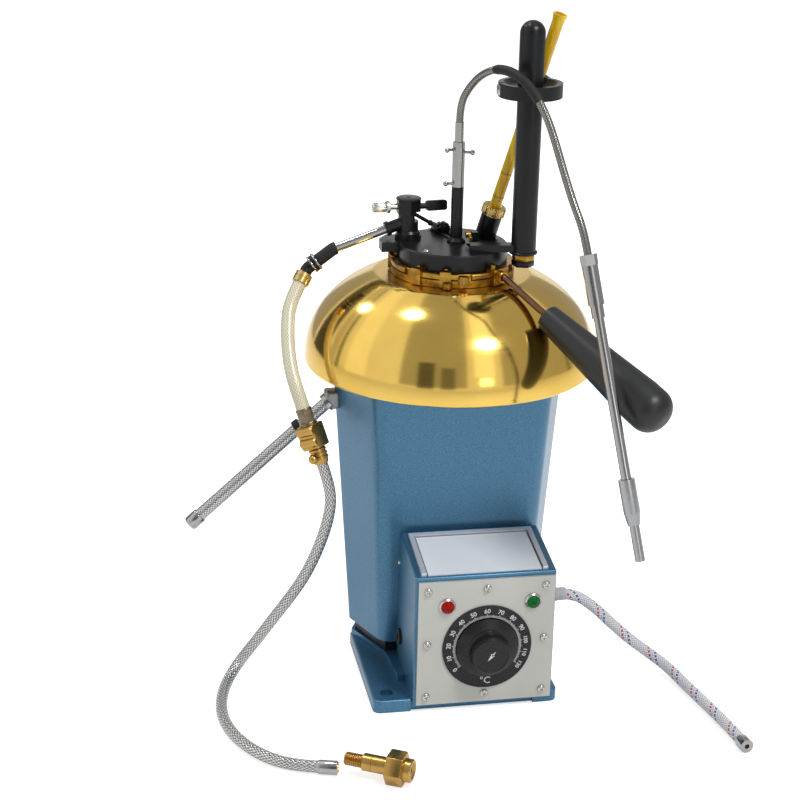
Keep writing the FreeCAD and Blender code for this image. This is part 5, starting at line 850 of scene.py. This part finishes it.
relief_skin = Finish("pale_grey_moulding", (0.5, 0.5, 0.52), 0.5).mottle(
    (900, 3.0), (0.42, 0.42, 0.44), (0.58, 0.58, 0.6))
fit("cable_strain_relief", relief, stand((52.7, -48.0, 53.0), (1, 0, 0)), relief_skin, "stand", "white_braid",
    "cable_gland")

# Arm: a braided conduit in a grey clamp on the body's left corner, with a plated ring at its
# root, a black clip ring and a plain steel ferrule at its far end.
grey_clamp = Finish("grey_cast_clamp", (0.3, 0.31, 0.32), 0.4, 0.6).mottle(
    (700, 3.0), (0.24, 0.25, 0.26), (0.38, 0.39, 0.40), depth=0.00004)
clamp = block(9.8, 11.0, 12.4, 2.2, 4)
add(clamp, round_bar(2.4, 2.2, 0.5), Matrix.Translation((-0.6, -5.2, 8.2)) @ SIDEWAYS)
fit("corner_clamp", clamp, stand((-78.0, 0, 175.4)), grey_clamp, "stand", "aluminium", "arm_clamp")


def wrap(shape, height):
    """A turned shape's own UV: its share of the height, and its share of a turn."""
    layer = shape.loops.layers.uv.new("wrap")
    for face in shape.faces:
        turns = [math.atan2(loop.vert.co.y, loop.vert.co.x) / TURN % 1 for loop in face.loops]
        for loop, share in zip(face.loops, turns):
            over = 1 if max(turns) - min(turns) > 0.5 and share < 0.5 else 0
            loop[layer].uv = (loop.vert.co.z / height, share + over)
    return shape


ARM_ROOT, ARM_SLOPE, ARM_LENGTH, ARM_RADIUS = Vector((-79.3, 0, 180.5)), 41.8, 124.6, 4.2
arm_heading = Vector((-math.cos(math.radians(ARM_SLOPE)), 0, -math.sin(math.radians(ARM_SLOPE))))
# The darker colour is painted shade in the valleys between the strands.
arm_weave = braid(Finish("silver_wire_braid", (0.6, 0.6, 0.6), 0.26, 0.95),
                  14, 48, (0.04, 0.04, 0.04), (0.76, 0.76, 0.76), 0.00012)
weave_length, tip_low = ARM_LENGTH - 8, ARM_LENGTH - 9.5
conduit = wrap(turned([(ARM_RADIUS, 0), (ARM_RADIUS, weave_length), (0, weave_length)], 40), weave_length)
fit("braided_arm", conduit, stand(ARM_ROOT, arm_heading), arm_weave, "stand", "steel_braid", "support_arm")
ends = turned([(0, 0), (5.8, 0), (6.2, 0.4), (6.2, 3.1), (5.8, 3.5), (4.1, 3.5), (4.1, 0)], 48)
tip = turned([(4.1, tip_low), (4.8, tip_low), (5.0, tip_low + 0.3), (5.0, tip_low + 8.5), (4.4, ARM_LENGTH),
              (2.6, ARM_LENGTH), (2.6, tip_low + 7.0), (0, tip_low + 7.0)], 48)
fit("arm_ends", add(ends, tip), stand(ARM_ROOT, arm_heading), ground_steel, "stand", "steel")
clip = hollow([(4.1, 24.8), (5.3, 24.8), (5.7, 25.1), (5.7, 29.1), (5.3, 29.4), (4.1, 29.4)])
fit("arm_clip", clip, stand(ARM_ROOT, arm_heading), rubber, "stand", "black_rubber")

# Gas adaptor: a loose turned brass fitting on the bench, with a cut thread, a plain barrel, a
# hexagon and a bored collar.
ADAPTOR_START, ADAPTOR_END = Vector((-92.1, -161.1, 9.5)), Vector((-54.5, -182.0, 9.5))
HEX_FLATS, HEX_START = 19.0, 27.5
heading = (ADAPTOR_END - ADAPTOR_START).normalized()
section = [(2.6, 0), (3.6, 0)]
for thread in range(9):
    low = 0.4 + 1.2 * thread
    section += [(3.7, low), (4.2, low + 0.5), (4.2, low + 0.7), (3.7, low + 1.15)]
section += [(3.7, 11.3), (5.0, 11.5), (5.4, 11.9), (5.4, 17.4), (5.2, 17.6), (5.4, 17.8), (5.4, HEX_START),
            (2.6, HEX_START)]
collar = [(2.6, HEX_START), (8.6, HEX_START), (9.4, 28.2), (9.4, 37.3), (8.6, 38.0), (7.2, 38.2), (7.2, 42.2),
          (6.5, 43.0), (5.0, 43.0), (4.2, 42.0), (2.6, 41.6)]
fit("brass_adaptor", add(hollow(section), hollow(collar, 64)), stand(ADAPTOR_START, heading), adaptor_brass,
    "stand", "brass", "gas_adaptor")
hexagon = cut(six_sided(HEX_FLATS / 2 / math.cos(math.pi / 6), 10.5, 0.5),
              turned([(0, -1), (5.0, -1), (5.0, 12), (0, 12)], 40))
fit("adaptor_hexagon", hexagon, stand(ADAPTOR_START + heading * HEX_START, heading, 30), adaptor_brass,
    "stand", "brass")

# Room: a pale bench top and a white surround that show white, large soft lamps, and grey screens
# that only reflections see. The screens and three of the lamps stand where the bell mirrors them:
# each is placed by the turn and lift of the bell's wall that shows it.
BENCH_SEEN, BENCH_MIRRORED, AIR_LIGHT, AIR_SEEN = 0.66, 0.3, 0.46, 1.0
BELL_MIDDLE = UP * 0.24


def rays(owner):
    """Whether a ray comes from the camera, a reflection or a clear piece."""
    path = owner.tree.nodes.new("ShaderNodeLightPath")
    return [Wire(owner, path.outputs[f"Is {kind} Ray"]) for kind in ("Camera", "Glossy", "Transmission")]


def staged(name, shape, finish):
    """Put a surface of the studio in the scene."""
    thing = linked(name, mesh_of(name, shape))
    thing.data.materials.append(finish.material)
    return thing


bench = Finish("pale_bench", (0.86, 0.86, 0.86), 0.7)
seen, mirrored, through = rays(bench)
glow = bench.node("Emission", None, Strength=seen * BENCH_SEEN + (mirrored + through) * BENCH_MIRRORED)
bench.feed(bench.tree.nodes["Material Output"].inputs["Surface"],
           bench.node("AddShader", None, Wire(bench, bench.shader.outputs[0]), glow))
top = bmesh.new()
bmesh.ops.create_grid(top, x_segments=1, y_segments=1, size=6)
staged("bench_top", top, bench)

world = bpy.data.worlds.new("room")
bpy.context.scene.world = world
world.use_nodes = True
air = Tree(world.node_tree)
seen, mirrored, through = rays(air)
background = world.node_tree.nodes["Background"]
air.feed(background.inputs["Color"], (1, 1, 1))
air.feed(background.inputs["Strength"],
         air.node("MapRange", None, seen.most(mirrored).most(through), To_Min=AIR_LIGHT, To_Max=AIR_SEEN))

camera_side = math.atan2(CAMERA_PLACE.y, CAMERA_PLACE.x)
look = (CAMERA_PLACE - BELL_MIDDLE).normalized()


def mirrored_way(turned_right, lift):
    """The way the bell's wall reflects the camera's look, where its normal has that turn and lift."""
    side, rise = camera_side + math.radians(turned_right), math.radians(lift)
    normal = Vector((math.cos(side) * math.cos(rise), math.sin(side) * math.cos(rise), math.sin(rise)))
    return normal * (2 * normal.dot(look)) - look


def screen(name, start, end, strength, low=9, high=86, reach=2.0):
    """A grey screen that shows as a band on the bell from one turn to another, in degrees."""
    shape = bmesh.new()
    across, along = max(2, round((end - start) / 3)), max(2, round((high - low) / 4))
    bmesh.ops.create_grid(shape, x_segments=across, y_segments=along, size=0.5)
    for vert in shape.verts:
        turned_right, lift = start + (end - start) * (vert.co.x + 0.5), low + (high - low) * (vert.co.y + 0.5)
        vert.co = mirrored_way(turned_right, lift) * reach + BELL_MIDDLE
    grey = Finish(name + "_grey", (0.0, 0.0, 0.0), 1.0, specular_ior_level=0.0, emission_strength=1.0,
                  emission_color=(strength,) * 3)
    thing = staged(name, shape, grey)
    thing.visible_camera = thing.visible_diffuse = thing.visible_transmission = thing.visible_shadow = False


for name, *view in (
        ("far_left", -88, -71, 0.42), ("dark_left", -69, -57, 0.08), ("left", -55, -51, 0.62),
        ("dark_line", -50, -48, 0.2), ("edge_line", 52, 54, 0.25, 9, 70, 1.9), ("middle", -19, 7, 0.46),
        ("right", 21, 56, 0.5), ("far_right", 58, 88, 0.4), ("low_box", -12, -5.5, 0.12, 8, 25, 1.9),
        ("low_post", -3, 2.5, 0.2, 8, 22, 1.9), ("low_light", 12, 17, 3.4, 10, 15, 1.9),
        ("tall_light", 10, 18, 1.5, 16, 60, 1.9), ("side_light", -44, -34, 1.25, 9, 78, 1.9)):
    screen("screen_" + name, *view)


def lamp(name, place, size, power):
    """A soft round lamp aimed at the instrument's middle."""
    light = linked(name, bpy.data.lights.new(name, "AREA"))
    light.data.shape = "DISK"
    light.data.size = size
    light.data.energy = power
    light.location = place
    light.rotation_euler = (UP * 0.2 - Vector(place)).to_track_quat("-Z", "Y").to_euler()
    return light


for name, turned_right, lift, size, power in (("key", 16, 37, 0.34, 13), ("second", -20.5, 54, 0.26, 5),
                                              ("third", -50, 50, 0.22, 1.6)):
    lamp(name, mirrored_way(turned_right, lift) * 1.6 + BELL_MIDDLE, size, power)
lamp("rim", (0.6, 1.2, 1.3), 0.8, 7).visible_glossy = False
